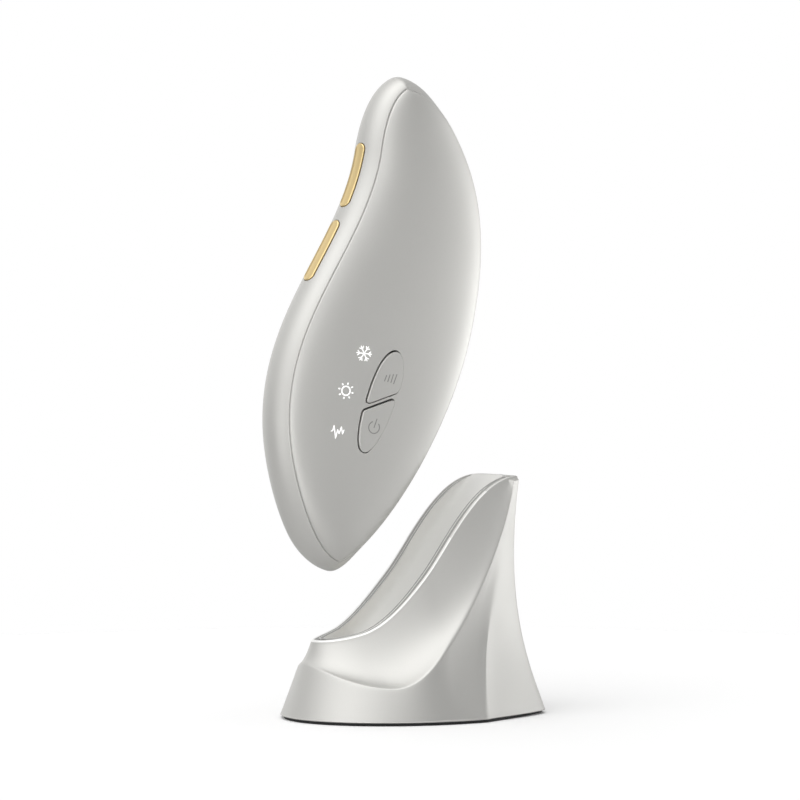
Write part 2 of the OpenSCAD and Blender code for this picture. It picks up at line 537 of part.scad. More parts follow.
// inner edge of the rim's flat top; d widens the opening
function mouth(w, d) = let (c = run(mouth_curve, min(1, w)), e = run(mouth_curve, min(1, w + .004)),
  b = run(mouth_curve, max(0, min(1, w) - .004)), t = unit(e - b), x = c[0] + t[1]*d, y = c[1] - t[0]*d)
  [x, min(0, y), rim_z(x)];
function mouth_ring(u, d) = u <= 1 ? mouth(rim_w(u), d)
  : u <= 2 ? let (p = mouth(rim_w(u), d)) [p[0] + d*(u - 1), p[1], p[2]]
  : let (p = mouth(1, d)) [p[0] + d, p[1]*(3 - u), p[2]];
function scoop(u, v) = let (a = ridge_pt(u), b = rim_low(u), k = .55 + .12*sm(.1, .5, u),
  q = u <= 1 ? [a[0] + (b[0] - a[0])*k, a[1] + (b[1] - a[1])*k, a[2] + (b[2] - a[2])*.22] : (a + b)/2)
  a*(1 - v)*(1 - v) + 2*q*v*(1 - v) + b*v*v;
us = concat([for (i = [0:17]) i/18], [1, 1.3, 1.65, 2, 2.3, 3]);
function full(h) = concat(h, [for (i = [len(h) - 2:-1:1]) [h[i][0], -h[i][1], h[i][2]]]);
module rings_closed(r) {
  n = len(r); m = len(r[0]);
  polyhedron([for (q = r) for (p = q) p], [for (k = [0:n - 1], j = [0:m - 1])
    let (a = k*m + j, b = k*m + (j + 1)%m, c = ((k + 1)%n)*m + j, d = ((k + 1)%n)*m + (j + 1)%m)
    each [[a, c, b], [b, c, d]]], convexity = 8);
}
// stack of rings closed at both ends by ladders between the near and far halves
module rings_plug(r) {
  n = len(r); m = len(r[0]); h = m/2;
  polyhedron([for (q = r) for (p = q) p], concat(
    [for (k = [0:n - 2], j = [0:m - 1])
      let (a = k*m + j, b = k*m + (j + 1)%m, c = (k + 1)*m + j, d = (k + 1)*m + (j + 1)%m)
      each [[a, c, b], [b, c, d]]],
    [for (j = [0:h - 1]) let (a = j, b = j + 1, c = (m - j)%m, d = m - j - 1)
      each (j == 0 ? [[a, b, d]] : j == h - 1 ? [[a, b, c]] : [[a, b, c], [b, d, c]])],
    [for (j = [0:h - 1]) let (o = (n - 1)*m, a = o + j, b = o + j + 1, c = o + (m - j)%m, d = o + m - j - 1)
      each (j == 0 ? [[a, d, b]] : j == h - 1 ? [[a, c, b]] : [[a, c, b], [b, c, d]])]), convexity = 4);
}
function skirt_in(u, v, d) = shift_in(skirt(u, v), d);
// the inside of the shell near the floor, d further in
function low_in(u, z, d) = let (m = stand_wall + d, a = shift_in(base_pt(u), m), b = skirt_in(u, .2, m))
  a + (b - a)*(z - a[2])/(b[2] - a[2]);
lip_gap = .1;
module stand_shell() {
  inner = liner_wall + lip_gap;
  color(silver) resize([0, 0, 0]) difference() {
    rings_closed([
      full([for (u = us) base_pt(u)]),
      full([for (u = us) skirt(u, .07)]),
      full([for (u = us) skirt(u, .25)]),
      full([for (u = us) skirt(u, .5)]),
      full([for (u = us) skirt(u, .75)]),
      full([for (u = us) ridge_pt(u)]),
      full([for (u = us) scoop(u, .25)]),
      full([for (u = us) scoop(u, .5)]),
      full([for (u = us) scoop(u, .75)]),
      full([for (u = us) rim_low(u)]),
      full([for (u = us) rim_top(u)]),
      full([for (u = us) mouth_ring(u, inner)]),
      full([for (u = us) let (p = mouth_ring(u, inner)) [p[0], p[1], p[2] - 2.4]]),
      full([for (u = us) skirt_in(u, .88, stand_wall)]),
      full([for (u = us) skirt_in(u, .55, stand_wall)]),
      full([for (u = us) skirt_in(u, .2, stand_wall)]),
      full([for (u = us) shift_in(base_pt(u), stand_wall)])]);
    port_bar(3.5, rear_x - 9, rear_x + 4);
  }
}
// ---- trough liner
function spine(w) = let (p = run(spine_curve, pow(w, .8))) [p[0], 0, p[1]];
// the way the wall thickens away from the spine: down from the floor, out at both ends
function spine_dir(w) = let (a = spine(max(0, w - .01)), b = spine(min(1, w + .01)),
  t = unit([b[0] - a[0], b[2] - a[2]]), k0 = sm(.12, 0, w), k1 = sm(.9, 1, w))
  unit([t[1], -t[0]]*(1 - k0 - k1) + [-1, 0]*k0 + [1, 0]*k1);
// cross section w of the trough: v -1 at the far rim, 0 at the spine, 1 at the near rim; d outside
function trough(w, v, d) = let (a0 = mouth(w, d), m0 = spine(w), q = spine_dir(w),
  b = [m0[0] + q[0]*d, 0, m0[2] + q[1]*d], a = w <= 0 ? b : [a0[0] + d*sm(.9, 1, w), a0[1], a0[2]],
  c = pow(sin(90*abs(v)), .55), s = pow(cos(90*v), .55))
  [a[0] + (b[0] - a[0])*s, (v < 0 ? 1 : -1)*a[1]*c, a[2] + (b[2] - a[2])*s];
liner_n = 18;
liner_m = 12;
function liner_grid(d) = [for (i = [0:liner_n])
  [for (j = [0:liner_m]) trough(i/liner_n, -1 + 2*j/liner_m, d)]];
module liner_sheet(outer, inner) {
  nr = len(outer); nc = len(outer[0]);
  pts = concat([for (r = outer) for (p = r) p], [for (r = inner) for (p = r) p]);
  function id(k, i, j) = k*nr*nc + i*nc + (i == 0 ? 0 : j);
  tri = concat(
    [for (i = [0:nr - 2], j = [0:nc - 2]) each [
      [id(0, i, j), id(0, i + 1, j), id(0, i, j + 1)],
      [id(0, i, j + 1), id(0, i + 1, j), id(0, i + 1, j + 1)],
      [id(1, i, j), id(1, i, j + 1), id(1, i + 1, j)],
      [id(1, i, j + 1), id(1, i + 1, j + 1), id(1, i + 1, j)]]],
    [for (i = [0:nr - 2]) each [
      [id(0, i, 0), id(1, i, 0), id(0, i + 1, 0)], [id(1, i, 0), id(1, i + 1, 0), id(0, i + 1, 0)],
      [id(0, i, nc - 1), id(0, i + 1, nc - 1), id(1, i, nc - 1)],
      [id(1, i, nc - 1), id(0, i + 1, nc - 1), id(1, i + 1, nc - 1)]]],
    [for (j = [0:nc - 2]) each [
      [id(0, nr - 1, j), id(1, nr - 1, j), id(0, nr - 1, j + 1)],
      [id(1, nr - 1, j), id(1, nr - 1, j + 1), id(0, nr - 1, j + 1)]]]);
  polyhedron(pts, [for (t = tri) if (t[0] != t[1] && t[1] != t[2] && t[0] != t[2]) t], convexity = 6);
}
// how the device moves from its lifted place down into the cradle
lift = [9.9, -17.9];
module at_pin(y, out) { translate([lift[0], 0, lift[1]]) at_pad(y, out) children(); }
pin_d = 1.6;
pin_hole = pin_d + .2;
flange_d = 2.2;
flange_high = .85;
// the pin's tip stops this far from the pad of the docked device
pin_tip = .1;
block_out = 3.6;
block_size = [6, 7.2, 4];
block_at = [lift[0] + pad_seam[0] + pad_n[0]*(pad_reach + block_out + block_size[2]/2),
  lift[1] + pad_seam[1] + pad_n[1]*(pad_reach + block_out + block_size[2]/2)];
module trough_liner() {
  color(silver) resize([0, 0, 0]) difference() {
    liner_sheet(liner_grid(liner_wall), liner_grid(0));
    for (y = [-pad_y, pad_y]) at_pin(y, -6) cylinder(d = pin_hole, h = 12);
  }
}
// ---- spring pins: they point at the pads of the docked device
module charge_pin(y) {
  color(gold) at_pin(y, pin_tip) {
    cylinder(d = pin_d, h = block_out + 1.55 + flange_high);
    translate([0, 0, block_out + 1.55]) cylinder(d = flange_d, h = flange_high);
  }
}
module charge_pin_near() { charge_pin(-pad_y); }
module charge_pin_far() { charge_pin(pad_y); }
module contact_block() {
  color(dark) resize([0, 0, 0]) difference() {
    union() {
      at_pin(0, block_out) translate([-block_size[0]/2, -block_size[1]/2, 0]) cube(block_size);
      translate([block_at[0] - 2, -block_size[1]/2, dock_z + board_thick])
        cube([4, block_size[1], block_at[1] - dock_z - board_thick]);
    }
    for (y = [-pad_y, pad_y]) at_pin(y, 0) {
      cylinder(d = pin_hole, h = 9);
      translate([0, 0, block_out + 1.5]) cylinder(d = flange_d + .2, h = 6);
    }
  }
}
module base_plate() {
  color(dark) resize([0, 0, 0]) difference() {
    rings_plug([
      full([for (u = us) low_in(u, foot_height, .12)]),
      full([for (u = us) low_in(u, foot_height + 2, .12)])]);
    for (p = screw_at) translate([p[0], p[1], -1]) {
      cylinder(d = 2.4, h = 6);
      cylinder(d = 4.4, h = 1 + foot_height + 1);
    }
  }
}
screw_at = [[-24, -12], [-24, 12], [18, -14.5], [18, 14.5]];
module base_screws() {
  color(steel) for (p = screw_at) translate([p[0], p[1], foot_height]) {
    cylinder(d = 4.2, h = 1);
    cylinder(d = 2.2, h = 4.6);
  }
}
module rubber_foot() {
  color(dark) rings_plug([
    full([for (u = us) let (p = shift_in(base_pt(u), 1)) [p[0], p[1], 0]]),
    full([for (u = us) let (p = shift_in(base_pt(u), .9)) [p[0], p[1], foot_height]])]);
}
module ballast() {
  color(steel) resize([0, 0, 0]) difference() {
    rings_plug([
      full([for (u = us) low_in(u, ballast_z, 4.2)]),
      full([for (u = us) low_in(u, ballast_z + 6, 4.2)])]);
    for (p = screw_at) translate([p[0], p[1], ballast_z - 1]) cylinder(d = 2.4, h = 4);
  }
}
module dock_board() {
  color(board_green) translate([rear_x - 43.4, -8, dock_z]) cube([39.8, 16, board_thick]);
  color(dark) for (q = [[-26.4, -5, 6, 5], [-17.4, 1, 5, 5]])
    translate([rear_x + q[0], q[1], dock_z + board_thick]) cube([q[2], q[3], chip_high]);
}
module usb_port() {
  color(steel) difference() {
    port_bar(3.2, rear_x - 7.8, rear_x - .1);
    port_bar(2.5, rear_x - 5.8, rear_x + 1);
  }
  color(dark) translate([rear_x - 5.9, -3.2, usb_z - .35]) cube([4.6, 6.4, .7]);
}
// flat bar with round ends along X
module port_bar(d, x0, x1) {
  translate([x0, 0, usb_z]) rotate([0, 90, 0]) hull() for (y = [-2.85, 2.85]) translate([0, y, 0])
    cylinder(d = d, h = x1 - x0);
}

front_shell();
back_shell();
edge_band();
upper_electrode();
lower_electrode();
mode_button();
power_button();
button_pad();
icon_inlays();
icon_guide();
control_board();
battery();
cooler();
heat_spreader();
heat_sink();
body_frame();
charge_pads();
stand_shell();
trough_liner();
base_plate();
rubber_foot();
ballast();
dock_board();
usb_port();
contact_block();
charge_pin_near();
charge_pin_far();
base_screws();
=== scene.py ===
import math
import bpy
import numpy as np
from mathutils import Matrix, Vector
from mathutils.geometry import delaunay_2d_cdt
from mathutils.kdtree import KDTree


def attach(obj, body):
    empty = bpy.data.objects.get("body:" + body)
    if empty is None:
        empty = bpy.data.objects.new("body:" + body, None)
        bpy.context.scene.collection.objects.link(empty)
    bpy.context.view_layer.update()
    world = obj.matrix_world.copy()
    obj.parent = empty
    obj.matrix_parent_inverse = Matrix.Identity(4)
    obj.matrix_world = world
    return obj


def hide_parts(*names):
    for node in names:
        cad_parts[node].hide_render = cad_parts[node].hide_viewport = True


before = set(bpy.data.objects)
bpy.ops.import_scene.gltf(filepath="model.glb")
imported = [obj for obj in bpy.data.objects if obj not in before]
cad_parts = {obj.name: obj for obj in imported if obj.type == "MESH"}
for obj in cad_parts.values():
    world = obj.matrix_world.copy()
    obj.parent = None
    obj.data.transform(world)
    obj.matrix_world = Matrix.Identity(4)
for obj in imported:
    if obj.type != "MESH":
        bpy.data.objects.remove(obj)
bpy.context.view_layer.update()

MM = .001

# ---- curves, in mm


def cubic(p, t):
    """The cubic with control values p, at t."""
    return p[0]*(1 - t)**3 + 3*p[1]*(1 - t)**2*t + 3*p[2]*(1 - t)*t*t + p[3]*t**3


def quadratic(before, corner, after, t):
    """The curve from before to after that corner pulls, at t."""
    return before*(1 - t)**2 + corner*2*t*(1 - t) + after*t*t


def bezier(p, t):
    """Points at t on the cubic with control points p."""
    return cubic(np.asarray(p, float), np.asarray(t, float)[..., None])


def chain(*points):
    """Cubics that join end to end, from their control points with each joint once."""
    return [points[k:k + 4] for k in range(0, len(points) - 3, 3)]


def along(curves, breaks, s):
    """Points at s on a chain of cubics that change over at the given breaks."""
    s = np.clip(np.asarray(s, float), 0, 1)
    out = None
    for k, curve in enumerate(curves):
        lo, hi = breaks[k], breaks[k + 1]
        q = bezier(curve, np.clip((s - lo)/(hi - lo), 0, 1))
        out = q if out is None else np.where((s >= lo)[..., None], q, out)
    return out


def smooth(a, b, x):
    """Runs smoothly from 0 where x is a to 1 where it is b."""
    t = np.clip((np.asarray(x, float) - a)/(b - a), 0, 1)
    return t*t*(3 - 2*t)


def unit(v):
    return v/np.maximum(np.linalg.norm(v, axis=-1, keepdims=True), 1e-9)


def eased(n, lo=0.0, hi=1.0):
    """n + 1 places from lo to hi, closer together at both ends."""
    return lo + (hi - lo)*(.5 - .5*np.cos(np.pi*np.arange(n + 1)/n))


def bisect(before, lo, hi, halvings):
    """The place between lo and hi up to which before(place) holds."""
    for _ in range(halvings):
        m = (lo + hi)/2
        holds = before(m)
        lo, hi = np.where(holds, m, lo), np.where(holds, hi, m)
    return (lo + hi)/2


# ---- the device's form: close to the CAD's, its covers fitted closer to the photograph

# side is -1 for the left edge and the front cover, 1 for the right edge and the back cover
# the seam's curves in X and Z from the bottom to the top, and the places s on it where they change over
SEAM = {
    -1: (chain((-25, 42.2), (-33, 44.5), (-40, 66), (-40, 80), (-40, 109), (-17.4, 126), (-13, 152),
               (-11.9, 158.5), (-9.6, 166.3), (-5, 168.9)), (0, .298, .867, 1)),
    1: (chain((-25, 42.2), (-12.5, 46.5), (8, 76), (14.4, 102), (21, 129), (17.4, 146), (8.2, 159.6),
              (5, 164.3), (1, 167.6), (-5, 168.9)), (0, .472, .927, 1)),
}
# the edge band: half its width and how far it bulges, along each edge and at the two ends
BAND_HALF = {-1: 7.2, 1: 5.6}
NOSE_HALF, NOSE_REACH = 6.2, .17
BULGE = {-1: 3.9, 1: 1.2}
BULGE_TOP, BULGE_BOTTOM = 3.8, 2.7
BULGE_CHANGE = {-1: (.9, .11), 1: (.93, .1)}
# the covers: half the body's thickness, where along s it grows and falls, and how steeply they leave the band
HALF_LOW, HALF_HIGH = 8.6, 10.2
HALF_GROWS, HALF_FALLS = (.2, .64), (0, .2)
ROLL_LEFT, ROLL_WIDE, ROLL_RIGHT = math.radians(38), math.radians(30), math.radians(66)
NARROW, WIDE = 20, 42
REACH_LEFT, REACH_RIGHT = .3, .24
SEAM_GAP, COVER_WALL, BAND_WALL = .06, 1.9, 1.8


def seam(side, s):
    return along(*SEAM[side], s)


def seam_out(side, s):
    """The way out of the body at s, in X and Z."""
    s, step = np.asarray(s, float), 5e-4
    d = unit(seam(side, np.minimum(1, s + step)) - seam(side, np.maximum(0, s - step)))
    return side*np.stack([d[..., 1], -d[..., 0]], -1)


def half_at(side, s):
    """Half the band's width at s."""
    s = np.asarray(s, float)
    inner = np.minimum(smooth(0, NOSE_REACH, s), smooth(0, NOSE_REACH, 1 - s))
    return NOSE_HALF + (BAND_HALF[side] - NOSE_HALF)*inner


def bulge_at(side, s):
    """How far the band bulges past the seam at s."""
    up, down = BULGE_CHANGE[side]
    b = BULGE[side]
    return b + (BULGE_TOP - b)*smooth(up, 1, s) + (BULGE_BOTTOM - b)*(1 - smooth(0, down, s))


def band_radius(half, bulge):
    return (half*half + bulge*bulge)/(2*bulge)


def band_section(half, bulge, v):
    """How far the band's round section reaches past the seam at v, its Y there, and its slope."""
    r = band_radius(half, bulge)
    a = v*np.arcsin(np.minimum(1, half/r))
    return r*np.cos(a) - r + bulge, r*np.sin(a), a


def half_thick(s):
    s = np.asarray(s, float)
    return HALF_LOW + (HALF_HIGH - HALF_LOW)*smooth(*HALF_GROWS, s)*smooth(*HALF_FALLS, 1 - s)


def limited(x, most):
    """x, bent over so that it never passes most."""
    return most*np.tanh(x/np.maximum(most, 1e-9))


def cover_section(s):
    """The cubic section of the cover on the chord at s: distances along it and heights."""
    a, b = seam(-1, s), seam(1, s)
    w = np.linalg.norm(b - a, axis=-1)
    low_left, low_right = half_at(-1, s), half_at(1, s)
    # two inner control points at this height put the section's middle at half_thick
    y = (8*half_thick(s) - low_left - low_right)/6
    turn = ROLL_LEFT + (ROLL_WIDE - ROLL_LEFT)*smooth(NARROW, WIDE, w)
    left = limited(w*REACH_LEFT, (y - low_left)/np.sin(turn))
    right = limited(w*REACH_RIGHT, (y - low_right)/math.sin(ROLL_RIGHT))
    run = (0*w, left*np.cos(turn), w - right*math.cos(ROLL_RIGHT), w)
    rise = (low_left, low_left + left*np.sin(turn), low_right + right*math.sin(ROLL_RIGHT), low_right)
    return a, b, w, run, rise


def cover_point(s, u):
    """X and Z of the cover at chord s and section parameter u."""
    a, b, w, run, _ = cover_section(s)
    return a + (b - a)*(cubic(run, u)/np.maximum(w, 1e-6))[..., None]


def cover_height(x, z):
    """Height of the cover over the middle plane at X, Z."""
    p = np.stack([x, z], -1)

    def chord_is_below(s):
        a, b = seam(-1, s), seam(1, s)
        w, q = b - a, p - a
        return w[:, 0]*q[:, 1] - w[:, 1]*q[:, 0] > 0

    s = bisect(chord_is_below, np.full(len(x), .0008), np.full(len(x), .9992), 34)
    a, b, w, run, rise = cover_section(s)
    want = np.clip(np.sum((p - a)*(b - a), -1)/np.maximum(w, 1e-6), 0, w)
    return cubic(rise, bisect(lambda u: cubic(run, u) < want, np.zeros(len(x)), np.ones(len(x)), 30))


def cover_map(side):
    """Places flat points on the front (-1) or back (1) cover; depth runs outwards along Y."""
    def place(flat, depth):
        return np.stack([flat[:, 0], side*(cover_height(flat[:, 0], flat[:, 1]) + depth), flat[:, 1]], -1)

    def normal(flat):
        x, z, step = flat[:, 0], flat[:, 1], .05
        hx = cover_height(x + step, z) - cover_height(x - step, z)
        hz = cover_height(x, z + step) - cover_height(x, z - step)
        return unit(np.stack([-hx/(2*step), np.full(len(flat), float(side)), -hz/(2*step)], -1))
    return place, normal


# the band is laid flat: x is the way round it, y the way across it
# it is walked up the left edge, over the top, down the right edge and round the bottom
LEFT, TOP, RIGHT, BOTTOM = range(4)
EDGE_STEPS, NOSE_STEPS = 190, 14


def band_walk():
    """Stations round the band: (kind, parameter), and the flat x of each."""
    s = eased(EDGE_STEPS)
    fan = np.arange(1, NOSE_STEPS)/NOSE_STEPS
    kinds = np.array([(LEFT, v) for v in s] + [(TOP, v) for v in fan] + [(RIGHT, 1 - v) for v in s]
                     + [(BOTTOM, 1 - v) for v in fan] + [(LEFT, 0.0)])
    pos, _ = band_at(kinds, np.zeros(len(kinds)))
    step = np.linalg.norm(np.diff(pos, axis=0), axis=1)
    return kinds, np.concatenate([[0], np.cumsum(step)])


def band_at(kinds, v):
    """Place and outward normal on the band at stations kinds and v across it (-1 front, 1 back)."""
    kind, f = kinds[:, 0], kinds[:, 1]
    pos, nrm = np.zeros((len(f), 3)), np.zeros((len(f), 3))
    for code, side in ((LEFT, -1), (RIGHT, 1)):
        m = kind == code
        p, n = seam(side, f[m]), seam_out(side, f[m])
        g, y, a = band_section(half_at(side, f[m]), bulge_at(side, f[m]), v[m])
        pos[m] = np.stack([p[:, 0] + n[:, 0]*g, y, p[:, 1] + n[:, 1]*g], -1)
        nrm[m] = np.stack([n[:, 0]*np.cos(a), np.sin(a), n[:, 1]*np.cos(a)], -1)
    for code, end, bulge in ((TOP, 1.0, BULGE_TOP), (BOTTOM, 0.0, BULGE_BOTTOM)):
        m = kind == code
        left, right = (math.atan2(n[1], n[0]) for n in (seam_out(-1, end), seam_out(1, end)))
        # the fan from left to right goes round outside the body
        if code == TOP and left < 0:
            left += 2*math.pi
        if code == BOTTOM:
            left = left - 2*math.pi if left > 0 else left
            right = right + 2*math.pi if right < left else right
        t = left + (right - left)*f[m]
        g, y, a = band_section(NOSE_HALF, bulge, v[m])
        p = seam(-1, end)
        pos[m] = np.stack([p[0] + np.cos(t)*g, y, p[1] + np.sin(t)*g], -1)
        nrm[m] = np.stack([np.cos(t)*np.cos(a), np.sin(a), np.sin(t)*np.cos(a)], -1)
    return pos, nrm


WALK, WALK_X = band_walk()
STATION_HALF = np.where(WALK[:, 0] == LEFT, half_at(-1, WALK[:, 1]),
                        np.where(WALK[:, 0] == RIGHT, half_at(1, WALK[:, 1]), NOSE_HALF))


def band_flat(flat, depth):
    """Places flat band points: between two stations the place and normal are blended."""
    x = np.clip(flat[:, 0], 0, WALK_X[-1])
    k = np.clip(np.searchsorted(WALK_X, x, side="right") - 1, 0, len(WALK_X) - 2)
    t = ((x - WALK_X[k])/(WALK_X[k + 1] - WALK_X[k]))[:, None]
    v0, v1 = flat[:, 1]/STATION_HALF[k], flat[:, 1]/STATION_HALF[k + 1]
    p0, n0 = band_at(WALK[k], np.clip(v0, -1, 1))
    p1, n1 = band_at(WALK[k + 1], np.clip(v1, -1, 1))
    n = unit(n0*(1 - t) + n1*t)
    return p0*(1 - t) + p1*t + n*np.asarray(depth)[:, None], n


def band_map():
    def place(flat, depth):
        return band_flat(flat, depth)[0]

    def normal(flat):
        return band_flat(flat, np.zeros(len(flat)))[1]
    return place, normal


# ---- mesh builders

# how far a flat point is moved along a row's way out to find that way on the surface
SIDE_STEP = .02
def inside(points, loop):
    """Which points lie inside a closed loop."""
    x, y = points[:, 0], points[:, 1]
    a, b = loop, np.roll(loop, -1, 0)
    odd = np.zeros(len(points), bool)
    for (x0, y0), (x1, y1) in zip(a, b):
        if y0 == y1:
            continue
        hit = ((y0 > y) != (y1 > y)) & (x < (x1 - x0)*(y - y0)/(y1 - y0) + x0)
        odd ^= hit
    return odd


def outside_all(points, loops):
    return ~np.any([inside(points, loop) for loop in loops], axis=0)


def outwards(loop):
    """Unit normals of a closed loop, pointing away from its inside."""
    d = np.roll(loop, -1, 0) - np.roll(loop, 1, 0)
    area = np.sum(loop[:, 0]*np.roll(loop[:, 1], -1) - np.roll(loop[:, 0], -1)*loop[:, 1])
    n = np.stack([d[:, 1], -d[:, 0]], -1)
    return unit(n if area > 0 else -n)


def mesh_object(name, verts, faces, normals=None):
    """A mesh from points in mm, with a normal for each face corner if given."""
    mesh = bpy.data.meshes.new(name)
    mesh.from_pydata([tuple(v) for v in np.asarray(verts)*MM], [], [tuple(map(int, f)) for f in faces])
    mesh.update()
    mesh.polygons.foreach_set("use_smooth", [True]*len(mesh.polygons))
    if normals is not None:
        mesh.normals_split_custom_set([tuple(n) for n in normals])
    obj = bpy.data.objects.new(name, mesh)
    bpy.context.scene.collection.objects.link(obj)
    return obj


def closed_edges(loops, first=0):
    """Edges that close each loop on itself; the points are numbered on from first."""
    edges = []
    for loop in loops:
        n = len(loop)
        edges += [(first + i, first + (i + 1) % n) for i in range(n)]
        first += n
    return edges


def triangulated(points, edges, keep, tolerance=1e-7):
    """Flat points, the triangles that keep accepts at their middles, and the points' origins."""
    out = delaunay_2d_cdt([Vector(p) for p in points], edges, [], 0, tolerance)
    flat = np.array([tuple(p) for p in out[0]])
    origin = np.array([o[0] if o else 0 for o in out[3]])
    tris = np.array([f for f in out[2] if len(f) == 3])
    a, b, c = (flat[tris[:, k]] for k in range(3))
    area = np.cross(b - a, c - a)
    good = keep(flat[tris].mean(1)) & (np.abs(area) > 1e-9)
    tris, area = tris[good], area[good]
    tris[area < 0] = tris[area < 0][:, ::-1]
    return flat, tris, origin


def facing(tris, points, normals):
    """The triangles, all turned over if the middle one looks against its normal."""
    a, b, c = tris[len(tris)//2]
    cross = np.cross(points[b] - points[a], points[c] - points[a])
    return tris[:, ::-1] if np.dot(cross, normals[a]) < 0 else tris


def sheet_normals(tris, front, back):
    """Corner normals of a sheet's outer triangles and of their reversed twins."""
    return np.concatenate([front[tris].reshape(-1, 3), -back[tris[:, ::-1]].reshape(-1, 3)])


def edge_rows(loop, sign, profile, scale=None):
    """Points, depths, tilts and ways out for each row of an edge.

    sign is 1 for the outside edge and -1 for a hole. The profile has rows of (distance into the material,
    depth, tilt in degrees) from the wall's foot to the surface, and scale widens it at each point.
    """
    n, out = len(loop), outwards(loop)*sign
    scale = np.ones(n) if scale is None else scale
    return [(loop - out*inset*scale[:, None], np.full(n, float(d)) if d <= -1 else d*scale,
             np.full(n, math.radians(deg)), out) for inset, d, deg in profile]


def grid_in(loop, step_x, step_y):
    """A grid of points inside a loop, clear of its edge."""
    lo, hi = loop.min(0), loop.max(0)
    gx, gy = np.meshgrid(np.arange(lo[0], hi[0], step_x), np.arange(lo[1], hi[1], step_y), indexing="ij")
    grid = np.stack([gx.ravel(), gy.ravel()], -1)
    return grid[inside(grid, loop - outwards(loop)*.3)]


def clear_of(points, free, gap=.33):
    """The free points that keep a gap to all the others."""
    tree = KDTree(len(points))
    for i, p in enumerate(points):
        tree.insert((p[0], p[1], 0), i)
    tree.balance()
    return np.array([p for p in free if tree.find((p[0], p[1], 0))[2] > gap])


def on_open_edge(tris, n):
    """Which of n points lie on an open edge of the triangles."""
    pairs = np.sort(np.concatenate([tris[:, [0, 1]], tris[:, [1, 2]], tris[:, [2, 0]]]), axis=1)
    edges, count = np.unique(pairs, axis=0, return_counts=True)
    rim = np.zeros(n, bool)
    rim[np.unique(edges[count == 1])] = True
    return rim


def laid_solid(name, mapping, rims, free, thick, keep):
    """A closed sheet over a mapped surface, from rims (see edge_rows) and free points between them."""
    place, normal = mapping
    rows = [row for rim in rims for row in edge_rows(*rim)]
    edges = closed_edges([row[0] for row in rows])
    free = clear_of(np.concatenate([row[0] for row in rows]), free)
    level = np.zeros(len(free))
    rows.append((free, level, level, np.tile([1.0, 0.0], (len(free), 1))))
    pts, depth, tilt, way = map(np.concatenate, zip(*rows))
    flat, tris, origin = triangulated(pts, edges, keep)
    depth, tilt, way = depth[origin], tilt[origin], way[origin]
    nrm = normal(flat)
    side = unit(place(flat + way*SIDE_STEP, 0*depth) - place(flat, 0*depth))
    side = unit(side - nrm*np.sum(side*nrm, -1, keepdims=True))
    front_n = nrm*np.cos(tilt)[:, None] + side*np.sin(tilt)[:, None]
    front = place(flat, depth)
    back = place(flat, np.full(len(flat), -thick))
    tris = facing(tris, front, nrm)
    # walls' feet stay as they are, every other point gets a twin on the inner side
    used = np.unique(tris)
    inner = used[~on_open_edge(tris, len(flat))[used]]
    new = -np.ones(len(flat), int)
    new[used] = np.arange(len(used))
    twin = new.copy()
    twin[inner] = len(used) + np.arange(len(inner))
    verts = np.concatenate([front[used], back[inner]])
    faces = np.concatenate([new[tris], twin[tris[:, ::-1]]])
    return mesh_object(name, verts, faces, sheet_normals(tris, front_n, nrm))


def laid_shape(name, mapping, polygons, proud, sunk):
    """Thin inlay with straight sides over a mapped surface: the union of some flat polygons."""
    place, normal = mapping
    flat, tris, _ = triangulated(np.concatenate(polygons), closed_edges(polygons),
                                 lambda mid: np.any([inside(mid, p) for p in polygons], axis=0), 1e-6)
    top = place(flat, np.full(len(flat), proud))
    bottom = place(flat, np.full(len(flat), -sunk))
    tris = facing(tris, top, normal(flat))
    edges = dict.fromkeys((t[i], t[(i + 1) % 3]) for t in tris for i in range(3))
    n = len(flat)
    faces = [tuple(t) for t in tris] + [tuple(t[::-1] + n) for t in tris]
    faces += [(a, a + n, b + n, b) for a, b in edges if (b, a) not in edges]
    used = sorted({i for f in faces for i in f})
    index = {v: k for k, v in enumerate(used)}
    verts = np.concatenate([top, bottom])[used]
    obj = mesh_object(name, verts, [tuple(index[i] for i in f) for f in faces])
    obj.data.polygons.foreach_set("use_smooth", [False]*len(obj.data.polygons))
    return obj


def ring_solid(name, rings):
    """A solid from closed rings of points; the last ring joins the first."""
    r = np.asarray(rings)
    n, m = r.shape[:2]
    faces = []
    for k in range(n):
        for j in range(m):
            a, b = k*m + j, k*m + (j + 1) % m
            c, d = ((k + 1) % n)*m + j, ((k + 1) % n)*m + (j + 1) % m
            faces.append((a, b, d, c))
    return mesh_object(name, r.reshape(-1, 3), faces)


def weighted(obj):
    """Face-weighted normals keep the broad faces' shading clean beside small fillets."""
    mod = obj.modifiers.new("weighted", "WEIGHTED_NORMAL")
    mod.keep_sharp = True
    mod.weight = 60
    return obj


# ---- materials

def new_material(name):
    mat = bpy.data.materials.new(name)
    mat.use_nodes = True
    tree = mat.node_tree
    return mat, tree, tree.nodes["Principled BSDF"]


def add_node(tree, kind, **inputs):
    """A shader node with some inputs set; an underscore stands for a space in an input's name."""
    node = tree.nodes.new("ShaderNode" + kind)
    for name, value in inputs.items():
        node.inputs[name.replace("_", " ")].default_value = value
    return node


def color_mix(tree, low, high):
    """A node that mixes two colours."""
    node = add_node(tree, "Mix")
    node.data_type = "RGBA"
    node.inputs["A"].default_value = (*low, 1)
    node.inputs["B"].default_value = (*high, 1)
    return node


BROAD_SCALE, RELIEF_DEPTH = 45, .00002


